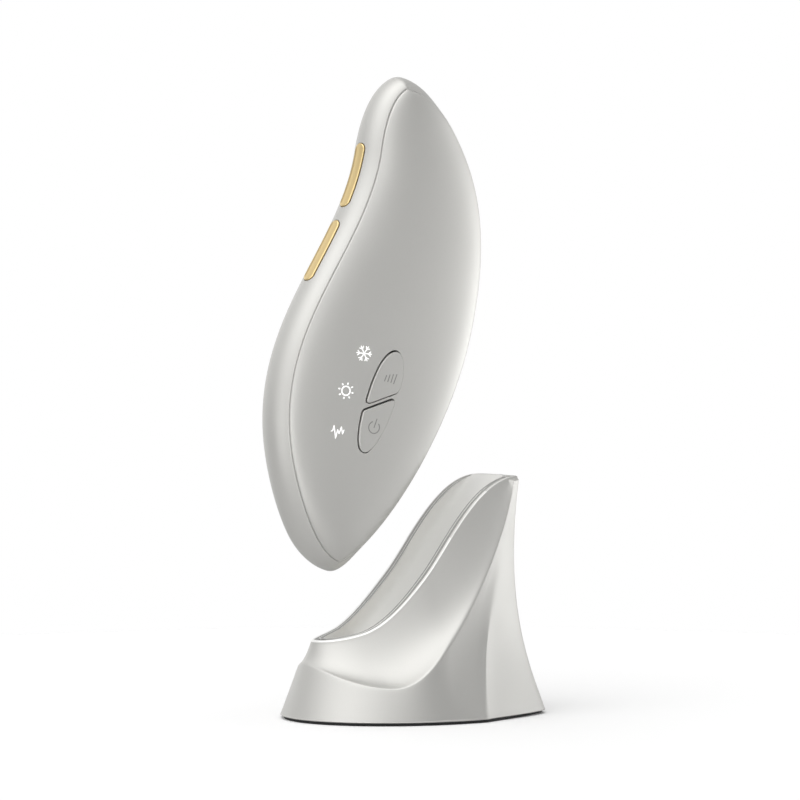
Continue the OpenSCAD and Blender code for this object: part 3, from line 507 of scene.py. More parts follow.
def surface(name, color, rough, metal=0.0, spread=.04, grain=900.0, bump=.02, coat=0.0, coat_rough=.2,
            rough_spread=.05, stretch=(1, 1, 1), painted_glow=0.0):
    """A finished surface: fine grain in its colour and bump, broad patches in its roughness."""
    mat, tree, bsdf = new_material(name)
    link = tree.links.new
    coord = add_node(tree, "TexCoord")
    mapping = add_node(tree, "Mapping", Scale=stretch)
    link(coord.outputs["Object"], mapping.inputs["Vector"])
    fine = add_node(tree, "TexNoise", Scale=grain, Detail=3)
    broad = add_node(tree, "TexNoise", Scale=BROAD_SCALE, Detail=2)
    for tex in (fine, broad):
        link(mapping.outputs["Vector"], tex.inputs["Vector"])
    tone = color_mix(tree, [max(0, c*(1 - spread)) for c in color], [min(1, c*(1 + spread)) for c in color])
    link(fine.outputs["Fac"], tone.inputs["Factor"])
    link(tone.outputs["Result"], bsdf.inputs["Base Color"])
    level = add_node(tree, "MapRange", To_Min=rough - rough_spread, To_Max=rough + rough_spread)
    link(broad.outputs["Fac"], level.inputs["Value"])
    link(level.outputs["Result"], bsdf.inputs["Roughness"])
    relief = add_node(tree, "Bump", Strength=bump, Distance=RELIEF_DEPTH)
    link(fine.outputs["Fac"], relief.inputs["Height"])
    link(relief.outputs["Normal"], bsdf.inputs["Normal"])
    bsdf.inputs["Metallic"].default_value = metal
    if coat:
        bsdf.inputs["Coat Weight"].default_value = coat
        bsdf.inputs["Coat Roughness"].default_value = coat_rough
    # a glow in the surface's own colour: painted light, not a lamp
    if painted_glow:
        bsdf.inputs["Emission Color"].default_value = (1, 1, 1, 1)
        bsdf.inputs["Emission Strength"].default_value = painted_glow
    return mat


PAINT = (.60, .595, .572)
silver = surface("satin_silver", PAINT, .45, metal=.6, spread=.02, grain=2600, bump=.08)
stand_silver = surface("stand_silver", PAINT, .45, metal=.6, spread=.02, grain=2600, bump=.08)
# a dark grey on the rim's flat top and the liner's lip: painted shade
rim_painted_shade = surface("rim_painted_shade", (.36, .357, .343), .5, metal=.5, spread=.02, grain=2600, bump=.08)
# pale greys for the rim's rounded bead: a bright and a dimmer painted highlight
bead_painted_highlight = surface("bead_painted_highlight", (.92, .92, .90), .4, metal=.5, spread=.02, grain=2600, bump=.05)
bead_dim_painted_highlight = surface("bead_dim_painted_highlight", (.76, .755, .735), .4, metal=.5, spread=.02, grain=2600, bump=.05)
# lighter than the stand's paint: painted light for the light the trough's inside gathers
trough_painted_light = surface("trough_painted_light_silver", (.80, .795, .77), .6, metal=.2, spread=.02, grain=2200, bump=.1)
gold = surface("gold_plate", (.86, .67, .34), .36, metal=1.0, spread=.02, grain=1800, bump=.05,
               stretch=(1, 6, 1), rough_spread=.03)
# the icons' white glows a little: painted light that brightens them
icon_white = surface("icon_white", (.93, .93, .92), .4, spread=.01, bump=.02, painted_glow=.5)
mark_grey = surface("mark_grey", (.30, .297, .285), .5, metal=.4, spread=.03, bump=.02)
rubber = surface("foot_rubber", (.035, .035, .036), .7, spread=.1, grain=1500, bump=.3)
silicone = surface("silicone", (.06, .06, .065), .6, spread=.08, grain=1200, bump=.2)
black_plastic = surface("black_plastic", (.03, .03, .032), .45, spread=.12, grain=1600, bump=.2)
clear_guide = surface("clear_guide", (.8, .84, .86), .15, spread=.02, bump=.02, coat=.6, coat_rough=.05)
board_green = surface("board_green", (.02, .13, .08), .35, spread=.15, grain=700, bump=.1, coat=.4)
cell_blue = surface("cell_sleeve", (.03, .09, .25), .3, spread=.06, grain=500, bump=.08, coat=.3)
ceramic = surface("ceramic", (.85, .85, .82), .5, spread=.03, grain=1300, bump=.1)
bare_aluminium = surface("bare_aluminium", (.62, .62, .63), .35, metal=1.0, spread=.04, bump=.1,
                         stretch=(1, 8, 1))
steel = surface("plain_steel", (.42, .42, .43), .32, metal=1.0, spread=.05, stretch=(1, 10, 1), bump=.1)


def piece(obj, body, slot_name, mat, *nodes):
    obj.data.materials.clear()
    obj.data.materials.append(mat)
    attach(obj, body)
    if nodes:
        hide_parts(*nodes)
    return obj


# ---- device: covers

# profiles of the rolled edges, as edge_rows takes them
SHELL_EDGE = [(SEAM_GAP/2, -COVER_WALL, 90), (SEAM_GAP/2 + .01, -.22, 90), (.06, -.13, 58), (.14, -.055, 34),
              (.27, -.013, 14), (.42, 0, 0)]
HOLE_EDGE = [(0, -COVER_WALL, 90), (.01, -.26, 90), (.06, -.1, 55), (.14, -.025, 25), (.24, 0, 0)]
KEY_THICK = 1.5
KEY_EDGE = [(0, -KEY_THICK, 90), (.01, -.36, 90), (.08, -.16, 60), (.2, -.045, 32), (.36, 0, 0)]
LEAF_STEPS, KEY_STEPS, KEY_GRID = 230, 26, .7
FRONT_GRID, BACK_GRID = (150, 56), (120, 44)


def leaf_loop():
    """The seam all the way round, in X and Z."""
    s = eased(LEAF_STEPS)
    return np.concatenate([seam(-1, s), seam(1, s[::-1])[1:-1]])


def cover_grid(along_s, along_u):
    """Points over the whole cover, closer together near its edge."""
    s, u = np.meshgrid(eased(along_s, .004, .996), eased(along_u, .01, .99), indexing="ij")
    return cover_point(s.ravel(), u.ravel())


def key_loop(curves):
    return np.concatenate([bezier(c, np.arange(KEY_STEPS)/KEY_STEPS) for c in curves])

KEYS = {
    "mode": chain((-18.1, 85.6), (-16.6, 90.8), (-13.6, 98), (-9.9, 98.2), (-6.9, 98.3), (-7.1, 91.5),
                  (-8.5, 88.2), (-8.8, 87.5), (-9.2, 87.1), (-9.9, 86.9), (-12.2, 86.15), (-14.6, 85.35),
                  (-16.9, 84.6), (-17.9, 84.25), (-18.4, 84.8), (-18.1, 85.6)),
    "power": chain((-19.5, 81.6), (-19.3, 82.4), (-18.9, 82.6), (-18.3, 82.8), (-16, 83.55), (-13.6, 84.35),
                   (-11.3, 85.1), (-10.2, 85.5), (-9.7, 85), (-10, 84.1), (-11.6, 79.6), (-15.6, 71.5),
                   (-18.5, 71.3), (-21.4, 71.3), (-20.6, 77.5), (-19.5, 81.6)),
}
# a key sits towards the lower right of its hole: the gap and the rolled edges are wider on the other side
KEY_GAP, KEY_GAP_MORE = .03, .38
KEY_GAP_WAY, KEY_FOOT_WAY = np.array([-.85, .53]), np.array([-.35, -.94])


def key_side(loop):
    """0 to 1: how far each point of a key's outline lies on the wide side of the gap."""
    out = outwards(loop)
    return np.maximum(smooth(-.35, .75, out @ KEY_GAP_WAY), .4*smooth(.3, .9, out @ KEY_FOOT_WAY))


def key_hole(loop):
    return loop + outwards(loop)*(KEY_GAP + KEY_GAP_MORE*key_side(loop))[:, None]


front_map, back_map = cover_map(-1), cover_map(1)
leaf = leaf_loop()
leaf_inside = leaf - outwards(leaf)*SEAM_GAP/2
key_loops = {k: key_loop(c) for k, c in KEYS.items()}
holes = {k: key_hole(p) for k, p in key_loops.items()}


def build_covers():
    free = cover_grid(*FRONT_GRID)
    free = free[outside_all(free, [hole + outwards(hole)*.1 for hole in holes.values()])]
    rims = [(leaf, 1, SHELL_EDGE)] + [(h, -1, HOLE_EDGE, .35 + .65*key_side(h)) for h in holes.values()]
    front = laid_solid("front_cover", front_map, rims, free, COVER_WALL,
                       lambda mid: inside(mid, leaf_inside) & outside_all(mid, holes.values()))
    piece(front, "device", "silver_paint", silver, "front_shell")
    back = laid_solid("back_cover", back_map, rims[:1], cover_grid(*BACK_GRID), COVER_WALL,
                      lambda mid: inside(mid, leaf_inside))
    piece(back, "device", "silver_paint", silver, "back_shell")


def build_key(key, loop):
    rim = (loop, 1, KEY_EDGE, .3 + .8*key_side(loop))
    cap = laid_solid(key + "_key", front_map, [rim], grid_in(loop, KEY_GRID, KEY_GRID), KEY_THICK,
                     lambda mid: inside(mid, loop))
    piece(cap, key + "_key", "silver_paint", silver, key + "_button")


build_covers()
for key, loop in key_loops.items():
    build_key(key, loop)

# ---- device: band and electrodes

# an electrode's shift is off the middle plane, and its middle is a place s on the left edge
ELECTRODE_LENGTH, ELECTRODE_WIDTH, ELECTRODE_SHIFT, ELECTRODE_ROUND = 18.6, 4.5, .95, 1.85
ELECTRODE_GAP, ELECTRODE_THICK = .12, 1.2
MIDDLES = {"upper": .808, "lower": .637}
SEAM_LENGTH = 134.0
BAND_EDGE = [(0, -BAND_WALL, 90), (.008, -.22, 90), (.05, -.11, 55), (.12, -.045, 32), (.24, -.01, 12),
             (.38, 0, 0)]
WELL_EDGE = [(0, -BAND_WALL, 90), (.01, -.16, 90), (.05, -.06, 50), (.12, 0, 0)]
STRIP_EDGE = [(0, -ELECTRODE_THICK, 90), (.01, .0, 90), (.06, .13, 60), (.17, .215, 30), (.34, .25, 0)]


def walk_x(s):
    """Flat x of a place on the left edge."""
    left = WALK[:len(WALK)//2, 0] == LEFT
    return float(np.interp(s, WALK[:len(left)][left][:, 1], WALK_X[:len(left)][left]))


def flat_y(y):
    """Flat band y of a place y off the middle plane, on the left edge."""
    half, bulge = BAND_HALF[-1], BULGE[-1]
    r = band_radius(half, bulge)
    return half*math.asin(y/r)/math.asin(half/r)


def rounded_box(x0, x1, y0, y1, radius, n=14, longest=.5):
    """The outline of a box with round corners, with no step much longer than the longest."""
    t = np.linspace(0, math.pi/2, n + 1)
    c, s = radius*np.cos(t), radius*np.sin(t)
    corners = [(x1 - radius, y1 - radius, c, s), (x0 + radius, y1 - radius, -s, c),
               (x0 + radius, y0 + radius, -c, -s), (x1 - radius, y0 + radius, s, -c)]
    loop = np.concatenate([np.stack([x + a, y + b], -1) for x, y, a, b in corners])
    out = []
    for a, b in zip(loop, np.roll(loop, -1, 0)):
        k = max(1, int(np.linalg.norm(b - a)/longest))
        out += [a + (b - a)*i/k for i in range(k)]
    return np.array(out)


def strip_loop(middle):
    """An electrode's outline on the flat band."""
    half_s = ELECTRODE_LENGTH/2/SEAM_LENGTH
    return rounded_box(walk_x(middle - half_s), walk_x(middle + half_s),
                       flat_y(-ELECTRODE_SHIFT - ELECTRODE_WIDTH/2),
                       flat_y(-ELECTRODE_SHIFT + ELECTRODE_WIDTH/2), ELECTRODE_ROUND)


strips = {k: strip_loop(middle) for k, middle in MIDDLES.items()}
wells = {k: p + outwards(p)*ELECTRODE_GAP for k, p in strips.items()}


def band_points():
    """Flat points across the band at every station, clear of the wells, with depths and tilts."""
    rows, depth, tilt = [], [], []
    inner = np.linspace(-1, 1, 25)[1:-1]
    for x, h in zip(WALK_X, STATION_HALF):
        for side in (-1, 1):
            for inset, d, deg in BAND_EDGE:
                rows.append((x, side*(h - inset)))
                depth.append(d)
                tilt.append(side*math.radians(deg))
        for v in inner:
            rows.append((x, v*(h - .8)))
            depth.append(0)
            tilt.append(0)
    flat, depth, tilt = np.array(rows), np.array(depth, float), np.array(tilt)
    clear = outside_all(flat, [well + outwards(well)*.3 for well in wells.values()])
    return flat[clear], depth[clear], tilt[clear], np.tile([0.0, 1.0], (clear.sum(), 1))


def on_band(mid):
    on_it = np.abs(mid[:, 1]) < np.interp(mid[:, 0], WALK_X, STATION_HALF) + 1e-6
    return on_it & outside_all(mid, wells.values())


def welded(name, verts, faces, corners):
    """A mesh in which points at one place are joined; faces that this closes up are left out."""
    _, index, same = np.unique(np.round(verts, 4), axis=0, return_index=True, return_inverse=True)
    faces = same.ravel()[faces]
    ok = (faces[:, 0] != faces[:, 1]) & (faces[:, 1] != faces[:, 2]) & (faces[:, 0] != faces[:, 2])
    used, faces = np.unique(faces[ok], return_inverse=True)
    corners = corners.reshape(-1, 3, 3)[ok].reshape(-1, 3)
    return mesh_object(name, verts[index][used], faces.reshape(-1, 3), corners)


def build_band():
    rows = [row for well in wells.values() for row in edge_rows(well, -1, WELL_EDGE)]
    rows.insert(0, band_points())
    edges = closed_edges([row[0] for row in rows[1:]], len(rows[0][0]))
    flat, depth, tilt, way = map(np.concatenate, zip(*rows))
    flat, tris, origin = triangulated(flat, edges, on_band)
    depth, tilt, way = depth[origin], tilt[origin], way[origin]
    front, nrm = band_flat(flat, depth)
    side = unit(band_flat(flat + way*SIDE_STEP, 0*depth)[0] - band_flat(flat, 0*depth)[0])
    front_n = unit(nrm*np.cos(tilt)[:, None] + side*np.sin(tilt)[:, None])
    back, _ = band_flat(flat, np.full(len(flat), -BAND_WALL))
    tris = facing(tris, front, nrm)
    # walls' feet stay as they are, every other point gets a twin on the inner side
    n = len(flat)
    twin = np.where(depth < -BAND_WALL + .01, np.arange(n), np.arange(n) + n)
    faces = np.concatenate([tris, twin[tris[:, ::-1]]])
    # the walk's first and last station are one, so the band is welded there
    return welded("edge_band_form", np.concatenate([front, back]), faces, sheet_normals(tris, front_n, nrm))


piece(build_band(), "device", "silver_paint", silver, "edge_band")
for name, loop in strips.items():
    strip = laid_solid(name + "_strip", band_map(), [(loop, 1, STRIP_EDGE)], grid_in(loop, .6, .45),
                       ELECTRODE_THICK, lambda mid: inside(mid, loop))
    piece(strip, "device", "gold_plate", gold, name + "_electrode")

# ---- icons and button marks

def turned(points, degrees):
    a = math.radians(degrees)
    p = np.asarray(points, float)
    return np.stack([p[:, 0]*math.cos(a) - p[:, 1]*math.sin(a),
                     p[:, 0]*math.sin(a) + p[:, 1]*math.cos(a)], -1)


def stroke(line, width, n=8):
    """Round-ended stroke along a polyline, as one polygon per segment."""
    out = []
    for a, b in zip(line[:-1], line[1:]):
        a, b = np.asarray(a, float), np.asarray(b, float)
        d = math.atan2(b[1] - a[1], b[0] - a[0])
        t = np.linspace(-math.pi/2, math.pi/2, n + 1)
        end = np.stack([b[0] + width/2*np.cos(t + d), b[1] + width/2*np.sin(t + d)], -1)
        start = np.stack([a[0] - width/2*np.cos(t + d), a[1] - width/2*np.sin(t + d)], -1)
        out.append(np.concatenate([end, start]))
    return out


# in order: snowflake, sun, wave
ICON_AT = [(-19.26, 97.67), (-24.42, 87.74), (-26.73, 77.09)]
ICON_R, ICON_W, SNOW_W = 2.15, .34, .26
SNOW_TURN, SUN_TURN = 24, -17
SUN_DISC, SUN_RAY_FROM, SUN_RAY_TO = 1.2, 1.86, 2.08
WAVE = [(-1.84, 0), (-1.37, .15), (-1.01, 1.45), (-.59, -1.87), (.02, .34), (.41, -.67), (1.09, 1.05),
        (1.41, -.77), (1.84, .23)]
MARK_PROUD, MARK_SUNK = .02, .5


def spoke(degrees, r0, r1, width=ICON_W):
    """Stroke along a ray, clockwise from straight up for negative angles."""
    a = math.radians(90 + degrees)
    return stroke([(r0*math.cos(a), r0*math.sin(a)), (r1*math.cos(a), r1*math.sin(a))], width)


def arc(r, start, sweep, steps, width=ICON_W):
    a = [math.radians(90 + start + sweep*k/steps) for k in range(steps + 1)]
    return stroke([(r*math.cos(v), r*math.sin(v)) for v in a], width, 4)


def snowflake():
    out = []
    for k in range(6):
        turn = SNOW_TURN + 60*k
        out += spoke(turn, 0, ICON_R, SNOW_W)
        for sign in (-1, 1):
            barb = stroke([(0, .58*ICON_R), (sign*.27*ICON_R, .86*ICON_R)], SNOW_W)
            out += [turned(p, turn) for p in barb]
    return out


def sun():
    out = arc(SUN_DISC, 0, 360, 26, ICON_W)
    for k in range(8):
        out += spoke(SUN_TURN + 45*k, SUN_RAY_FROM, SUN_RAY_TO, ICON_W*1.15)
    return out


def wave():
    return stroke(WAVE, ICON_W*.8)


def mark(name, shapes, at, mat, slot_name, body):
    """All the strokes of one mark as one piece."""
    shapes = [p + np.array(at) for p in shapes]
    return piece(laid_shape(name, front_map, shapes, MARK_PROUD, MARK_SUNK), body, slot_name, mat)


for name, shapes, at in zip(("snowflake", "sun", "wave"), (snowflake(), sun(), wave()), ICON_AT):
    mark(name + "_inlay", shapes, at, icon_white, "icon_white", "device")
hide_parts("icon_inlays")
# four leaning strokes that grow to the right
MARK_W = .27
BARS_AT = (-11.4, 91.03)
BARS = [[(-1.76, -.64), (-1.18, .8)], [(-.8, -.85), (-.16, .97)], [(.16, -1.06), (.86, 1.08)],
        [(.97, -1.38), (1.91, 1.08)]]
bars = [p for line in BARS for p in stroke(line, MARK_W)]
mark("mode_mark", bars, BARS_AT, mark_grey, "silver_paint", "mode_key")
# an open ring with a bar, turned clockwise with the body
POWER_AT, POWER_R, POWER_TURN = (-16.06, 77.99), 1.6, -20
power = arc(POWER_R, POWER_TURN + 38, 284, 26, MARK_W) + spoke(POWER_TURN, 0, 2.35, MARK_W)
mark("power_mark", power, POWER_AT, mark_grey, "silver_paint", "power_key")

# ---- stand: close to the CAD's, its side behind the crease fitted closer

FOOT = .8
RIDGE = chain((-32.7, 0, 15.2), (-32.7, -8, 14.6), (-26, -17.5, 9.8), (-17, -21.8, 9.5),
              (-10.5, -24.9, 9.3), (-5.5, -23.9, 15), (0, -21.8, 21),
              (9.5, -18.3, 30.3), (20.9, -14.7, 48.9), (23.8, -13.3, 63.4))
RIM = chain((-30.2, 0, 21.2), (-30.2, -3.4, 21.2), (-26, -6.9, 21.3), (-20.5, -9.5, 23),
            (-14.3, -12.5, 24.8), (-8, -12.9, 31.8), (-2.5, -13, 38.3),
            (4.2, -12.9, 46.2), (13.2, -12.9, 65.3), (26, -12.1, 64.8))
TROUGH_HALF = 9.0
MOUTH = chain((-26.5, 0), (-26.5, -2.6), (-23, -5.2), (-17.5, -.811*TROUGH_HALF),
              (-12, -1.02*TROUGH_HALF), (-7.5, -TROUGH_HALF), (-2.5, -TROUGH_HALF),
              (4.5, -TROUGH_HALF), (13, -TROUGH_HALF), (22.6, -TROUGH_HALF))
SPINE = chain((-26.5, 21.2), (-24, 20.1), (-20.4, 19.7), (-16.4, 19.8),
              (-8.9, 20.1), (4.8, 39.3), (22.6, 65))
THIRDS = (0, 1/3, 2/3, 1)
# the base: an ellipse from the front to the crease, a curve to the corner, then the rear
BASE_HALF_LENGTH, BASE_HALF_WIDTH, BASE_PACE = 37.5, 28, 1.9
LEAN = math.radians(76.2)
SIDE_PULL = np.array([21.8, -22.4])
P_CORNER = np.array([33.9, -13.3])
BASE_REAR = [P_CORNER, P_CORNER + (1.3, 3.5), (36.2, -4), (36.2, 0)]
TOP_CORNER = np.array([26.2, -12.1, 63.6])
# how the skirt's two inner control points are pulled: at the crease, and behind it
CREASE_PULL = np.array([[-5.3, 0, -6.3], [-4.1, 2.5, -6.7]])
CREASE_SHARP, CREASE_STEP, CREASE_RUN = 12, 1.3, .1
REAR_PULL = np.array([[-1, -1.6, -11.4], [-5.4, 4.5, -16.2]])
REAR_ROLL = (.16, .22)
# the shares of the rim's curve before the crease, and from there to the rear corner
RIM_SIDE, RIM_REAR = .97, .03
RIM_ROUND, RIM_SINK, RIDGE_ROUND = .8, .15, 1.1
STAND_WALL = 2.2
LINER_WALL, LIP_GAP, LIP_ROUND = 1.2, .1, .28
MIRROR = np.array([1, -1, 1])
rim_table = along(RIM, THIRDS, np.linspace(0, 1, 241))


def rim_z(x):
    return np.interp(x, rim_table[:, 0], rim_table[:, 2])


def base_ellipse(a):
    return np.array([BASE_HALF_LENGTH*math.cos(a), -BASE_HALF_WIDTH*math.sin(a)])


def lowered(p, drop):
    return p - np.array([0, 0, drop])


# u runs round half the stand: 0 front, 1 crease, 2 rear corner, 3 the middle of the rear wall
def base_pt(u):
    if u <= 1:
        q = base_ellipse(math.pi - (math.pi - LEAN)*(1 - (1 - u)**BASE_PACE))
    elif u <= 2:
        q = quadratic(base_ellipse(LEAN), SIDE_PULL, P_CORNER, u - 1)
    else:
        q = bezier(BASE_REAR, u - 2)
    return np.array([q[0], q[1], FOOT])


def ridge_pt(u):
    if u <= 1:
        return along(RIDGE, THIRDS, u)
    if u <= 2:
        return along(RIDGE, THIRDS, 1.0)*(2 - u) + TOP_CORNER*(u - 1)
    return TOP_CORNER*np.array([1, 3 - u, 1])


def skirt(u, v):
    """The stand's side at u, from the base (v = 0) to the ridge (v = 1)."""
    a, b = base_pt(u), ridge_pt(u)
    crease = (1 - (1 - u)**BASE_PACE)**CREASE_SHARP if u <= 1 else max(0, 2 - u)
    rear = 0 if u <= 1 else min(1, u - 1)
    lift = np.array([1, 1 if u <= 2 else 3 - u, 1])
    low, high = (CREASE_PULL[i]*crease + REAR_PULL[i]*rear for i in (0, 1))
    p = bezier([a, a + (b - a)/3 + low*lift, a + (b - a)*2/3 + high*lift, b], v)
    if u <= 1:
        return p
    # behind the crease the side steps in a little and then runs on
    step = CREASE_STEP*(1 - math.exp(-rear/CREASE_RUN))*crease*(1 - smooth(.35, .7, v))
    return p + np.array([0, step, 0])


def rolled(f, u, at, before, after):
    """A line f(u) with its corner at u = at rolled off."""
    lo, hi, e, k = at - before, at + after, .01, .62
    if not lo < u < hi:
        return f(u)
    a, c, b = f(lo), f(at), f(hi)
    da, db = unit(a - f(lo - e)), unit(f(hi + e) - b)
    pull = [a, a + da*k*np.linalg.norm(c - a), b - db*k*np.linalg.norm(b - c), b]
    return bezier(pull, (u - lo)/(hi - lo))


def soft_skirt(u, v):
    """The skirt with its crease rolled off more and more towards the top, and a rolled rear corner."""
    fade = smooth(.35, .7, v)*(1 - smooth(.85, 1, v))
    if u < 1.5:
        return rolled(lambda w: skirt(w, v), u, 1, .1 + .1*fade, .035 + .3*fade)
    return rolled(lambda w: skirt(w, v), u, 2, *REAR_ROLL)


def rim_w(u):
    """The place on the rim's and the mouth's curves at u."""
    return RIM_SIDE*u if u <= 1 else RIM_SIDE + RIM_REAR*min(1, u - 1)


def rim_raw(u):
    if u <= 2:
        return along(RIM, THIRDS, rim_w(u))
    return along(RIM, THIRDS, 1.0)*np.array([1, 3 - u, 1])


def rim_out(u):
    return rolled(rim_raw, u, 2, *REAR_ROLL)


def shift_in(p, d):
    """p moved inwards by d, towards a line along the stand's middle."""
    xc = max(-18, min(14, .6*p[0]))
    n = unit(np.array([xc - p[0], -p[1]]))
    return np.array([p[0] + n[0]*d, p[1] + n[1]*d, p[2]])


def rim_low(u):
    """The foot of the rim's round."""
    return lowered(rim_out(u), RIM_ROUND)


def rim_top(u):
    p = shift_in(rim_out(u), RIM_ROUND)
    return np.array([p[0], p[1], rim_z(p[0])])


def mouth(w, d):
    """The trough's edge at w on its curve, moved outwards by d."""
    c = along(MOUTH, THIRDS, min(1, w))
    t = unit(along(MOUTH, THIRDS, min(1, w + .004)) - along(MOUTH, THIRDS, max(0, min(1, w) - .004)))
    x, y = c[0] + t[1]*d, c[1] - t[0]*d
    return np.array([x, min(0, y), rim_z(x)])


def mouth_ring(u, d):
    if u <= 2:
        p = mouth(rim_w(u), d)
        return np.array([p[0] + d*max(0, u - 1), p[1], p[2]])
    p = mouth(1, d)
    return np.array([p[0] + d, p[1]*(3 - u), p[2]])


def scoop(u, v):
    """The hollow top at u, from the ridge (v = 0) to the rim (v = 1)."""
    a, b = soft_skirt(u, 1), rim_low(u)
    k = .55 + .12*smooth(.1, .5, u)
    pull = a + (b - a)*np.array([k, k, .22]) if u <= 1 else (a + b)/2
    return quadratic(a, pull, b, v)


def stations():
    """Places u for the rings' points, close together at the crease and at the rear corner."""
    near = [1 - (1 - t)**1.25 for t in np.linspace(0, 1, 70)]
    crease = [.988, .992, .996, 1, 1.005, 1.012, 1.02, 1.03, 1.06, 1.12, 1.2, 1.3]
    corner = [1.4, 1.5, 1.6, 1.7, 1.8, 1.9, 1.93, 1.96, 2, 2.04, 2.09, 2.15, 2.2, 2.25]
    return [u for u in near if u < .985] + crease + corner + [2.4, 2.6, 2.8, 3]


STATIONS = stations()


def full(f):
    """A closed ring from f over half the stand and its mirror image."""
    half = [f(u) for u in STATIONS]
    return np.array(half + [h*MIRROR for h in half[-2:0:-1]])


def ridge_round(u, t):
    a, c, b, r = soft_skirt(u, .96), soft_skirt(u, 1), scoop(u, .08), RIDGE_ROUND
    a = c + unit(a - c)*min(r, np.linalg.norm(a - c))
    b = c + unit(b - c)*min(r, np.linalg.norm(b - c))
    return quadratic(a, c, b, t)


def rim_round(u, t):
    a, b = rim_low(u), rim_top(u)
    return quadratic(a, np.array([a[0], a[1], b[2]]), b, t)


def skirt_top(u):
    """v at which the skirt meets the ridge's round."""
    length = np.linalg.norm(soft_skirt(u, 1) - soft_skirt(u, .9))/.1
    return 1 - RIDGE_ROUND/max(length, 3)


def scoop_start(u):
    """v at which the scoop leaves the ridge's round."""
    length = np.linalg.norm(scoop(u, .1) - scoop(u, 0))/.1
    return min(.2, RIDGE_ROUND/max(length, 3))


# rings across the rim's flat top: (share of the way to the mouth, share of RIM_SINK)
RIM_FLAT = ((.05, .12), (.12, .5), (.18, .88), (.25, 1), (1, 1))
# a painted highlight covers the bead and this many of the flat's rings: a bright painted highlight up to the
# first place u, then a dimmer one up to the second
HIGHLIGHT_ON_FLAT, HIGHLIGHT_BRIGHT_END, HIGHLIGHT_END = 2, .8, .93
SIDE_FROM = .02


def shell_rings():
    """The shell's rings in four lists: up to the rim, its bead, its flat top, and down inside."""
    lip = LINER_WALL + LIP_GAP
    outside = [full(lambda u: shift_in(soft_skirt(u, 0), .25))]
    outside += [full(lambda u: soft_skirt(u, 0) + np.array([0, 0, z])) for z in (.12, .3)]
    outside += [full(lambda u: soft_skirt(u, SIDE_FROM + (skirt_top(u) - SIDE_FROM)*v))
                for v in np.linspace(0, 1, 44)]
    outside += [full(lambda u: ridge_round(u, t)) for t in (.2, .4, .6, .8)]
    outside += [full(lambda u: scoop(u, scoop_start(u) + (1 - scoop_start(u))*v))
                for v in np.linspace(0, 1, 26)]
    bead = [full(lambda u: rim_round(u, t)) for t in (.2, .4, .6, .8, 1)]
    flat = [full(lambda u: lowered(rim_top(u)*(1 - k) + mouth_ring(u, lip + .1)*k, RIM_SINK*d))
            for k, d in RIM_FLAT]
    within = [full(lambda u: lowered(mouth_ring(u, lip), d)) for d in (.5, 2.4)]
    within += [full(lambda u: shift_in(skirt(u, v), STAND_WALL)) for v in (.88, .7, .55, .4, .2, .08)]
    within += [full(lambda u: shift_in(base_pt(u), STAND_WALL))]
    return outside, bead, flat, within


def build_shell():
    outside, bead, flat, within = shell_rings()
    shell = weighted(ring_solid("stand_form", outside + bead + flat + within))
    piece(shell, "stand", "stand_paint", stand_silver, "stand_shell")
    for mat in (rim_painted_shade, bead_painted_highlight, bead_dim_painted_highlight):
        shell.data.materials.append(mat)
    bead_start = len(outside)
    flat_start = bead_start + len(bead) + HIGHLIGHT_ON_FLAT
    flat_end = bead_start + len(bead) + len(flat) - 1
    points = len(outside[0])
    for k, poly in enumerate(shell.data.polygons):
        row, col = divmod(k, points)
        u = STATIONS[min(col, points - col, len(STATIONS) - 1)]
        # the rim's flat top gets painted shade
        if flat_start <= row < flat_end:
            poly.material_index = 1
        # the bead: a bright painted highlight, then a dimmer one
        elif bead_start <= row < flat_start and u < HIGHLIGHT_END:
            poly.material_index = 2 if u < HIGHLIGHT_BRIGHT_END else 3


build_shell()

# an exponent of 1 would make the trough's section an ellipse, and a smaller one makes it squarer
TROUGH_SQUARE = .55
# the lip's rounding: (share of the way across the wall, share of LIP_ROUND that it lies lower)
LIP_ROWS = ((0, 1), (.08, .35), (.25, 0), (.8, 0))


def spine_pt(w):
    """The trough's floor at w, in the middle plane."""
    p = along(SPINE, (0, .5, 1), min(1, w**.8))
    return np.array([p[0], 0, p[1]])


def spine_dir(w):
    """The way out of the trough's floor at w, in X and Z: level at both ends."""
    a, b = spine_pt(max(0, w - .01)), spine_pt(min(1, w + .01))
    t = unit(np.array([b[0] - a[0], b[2] - a[2]]))
    n = np.array([t[1], -t[0]])
    k0, k1 = 1 - smooth(0, .12, w), smooth(.9, 1, w)
    return unit(n*(1 - k0 - k1) + np.array([-1, 0])*k0 + np.array([1, 0])*k1)


def trough(w, v, d):
    """The trough at w along it and v across it (-1 to 1), moved outwards by d."""
    a0, m0, q = mouth(w, d), spine_pt(w), spine_dir(w)
    b = np.array([m0[0] + q[0]*d, 0, m0[2] + q[1]*d])
    a = b if w <= 0 else np.array([a0[0] + d*smooth(.9, 1, w), a0[1], a0[2]])
    across = math.pi/2*abs(v)
    c, s = math.sin(across)**TROUGH_SQUARE, max(0, math.cos(across))**TROUGH_SQUARE
    return np.array([a[0] + (b[0] - a[0])*s, (1 if v < 0 else -1)*a[1]*c, a[2] + (b[2] - a[2])*s])


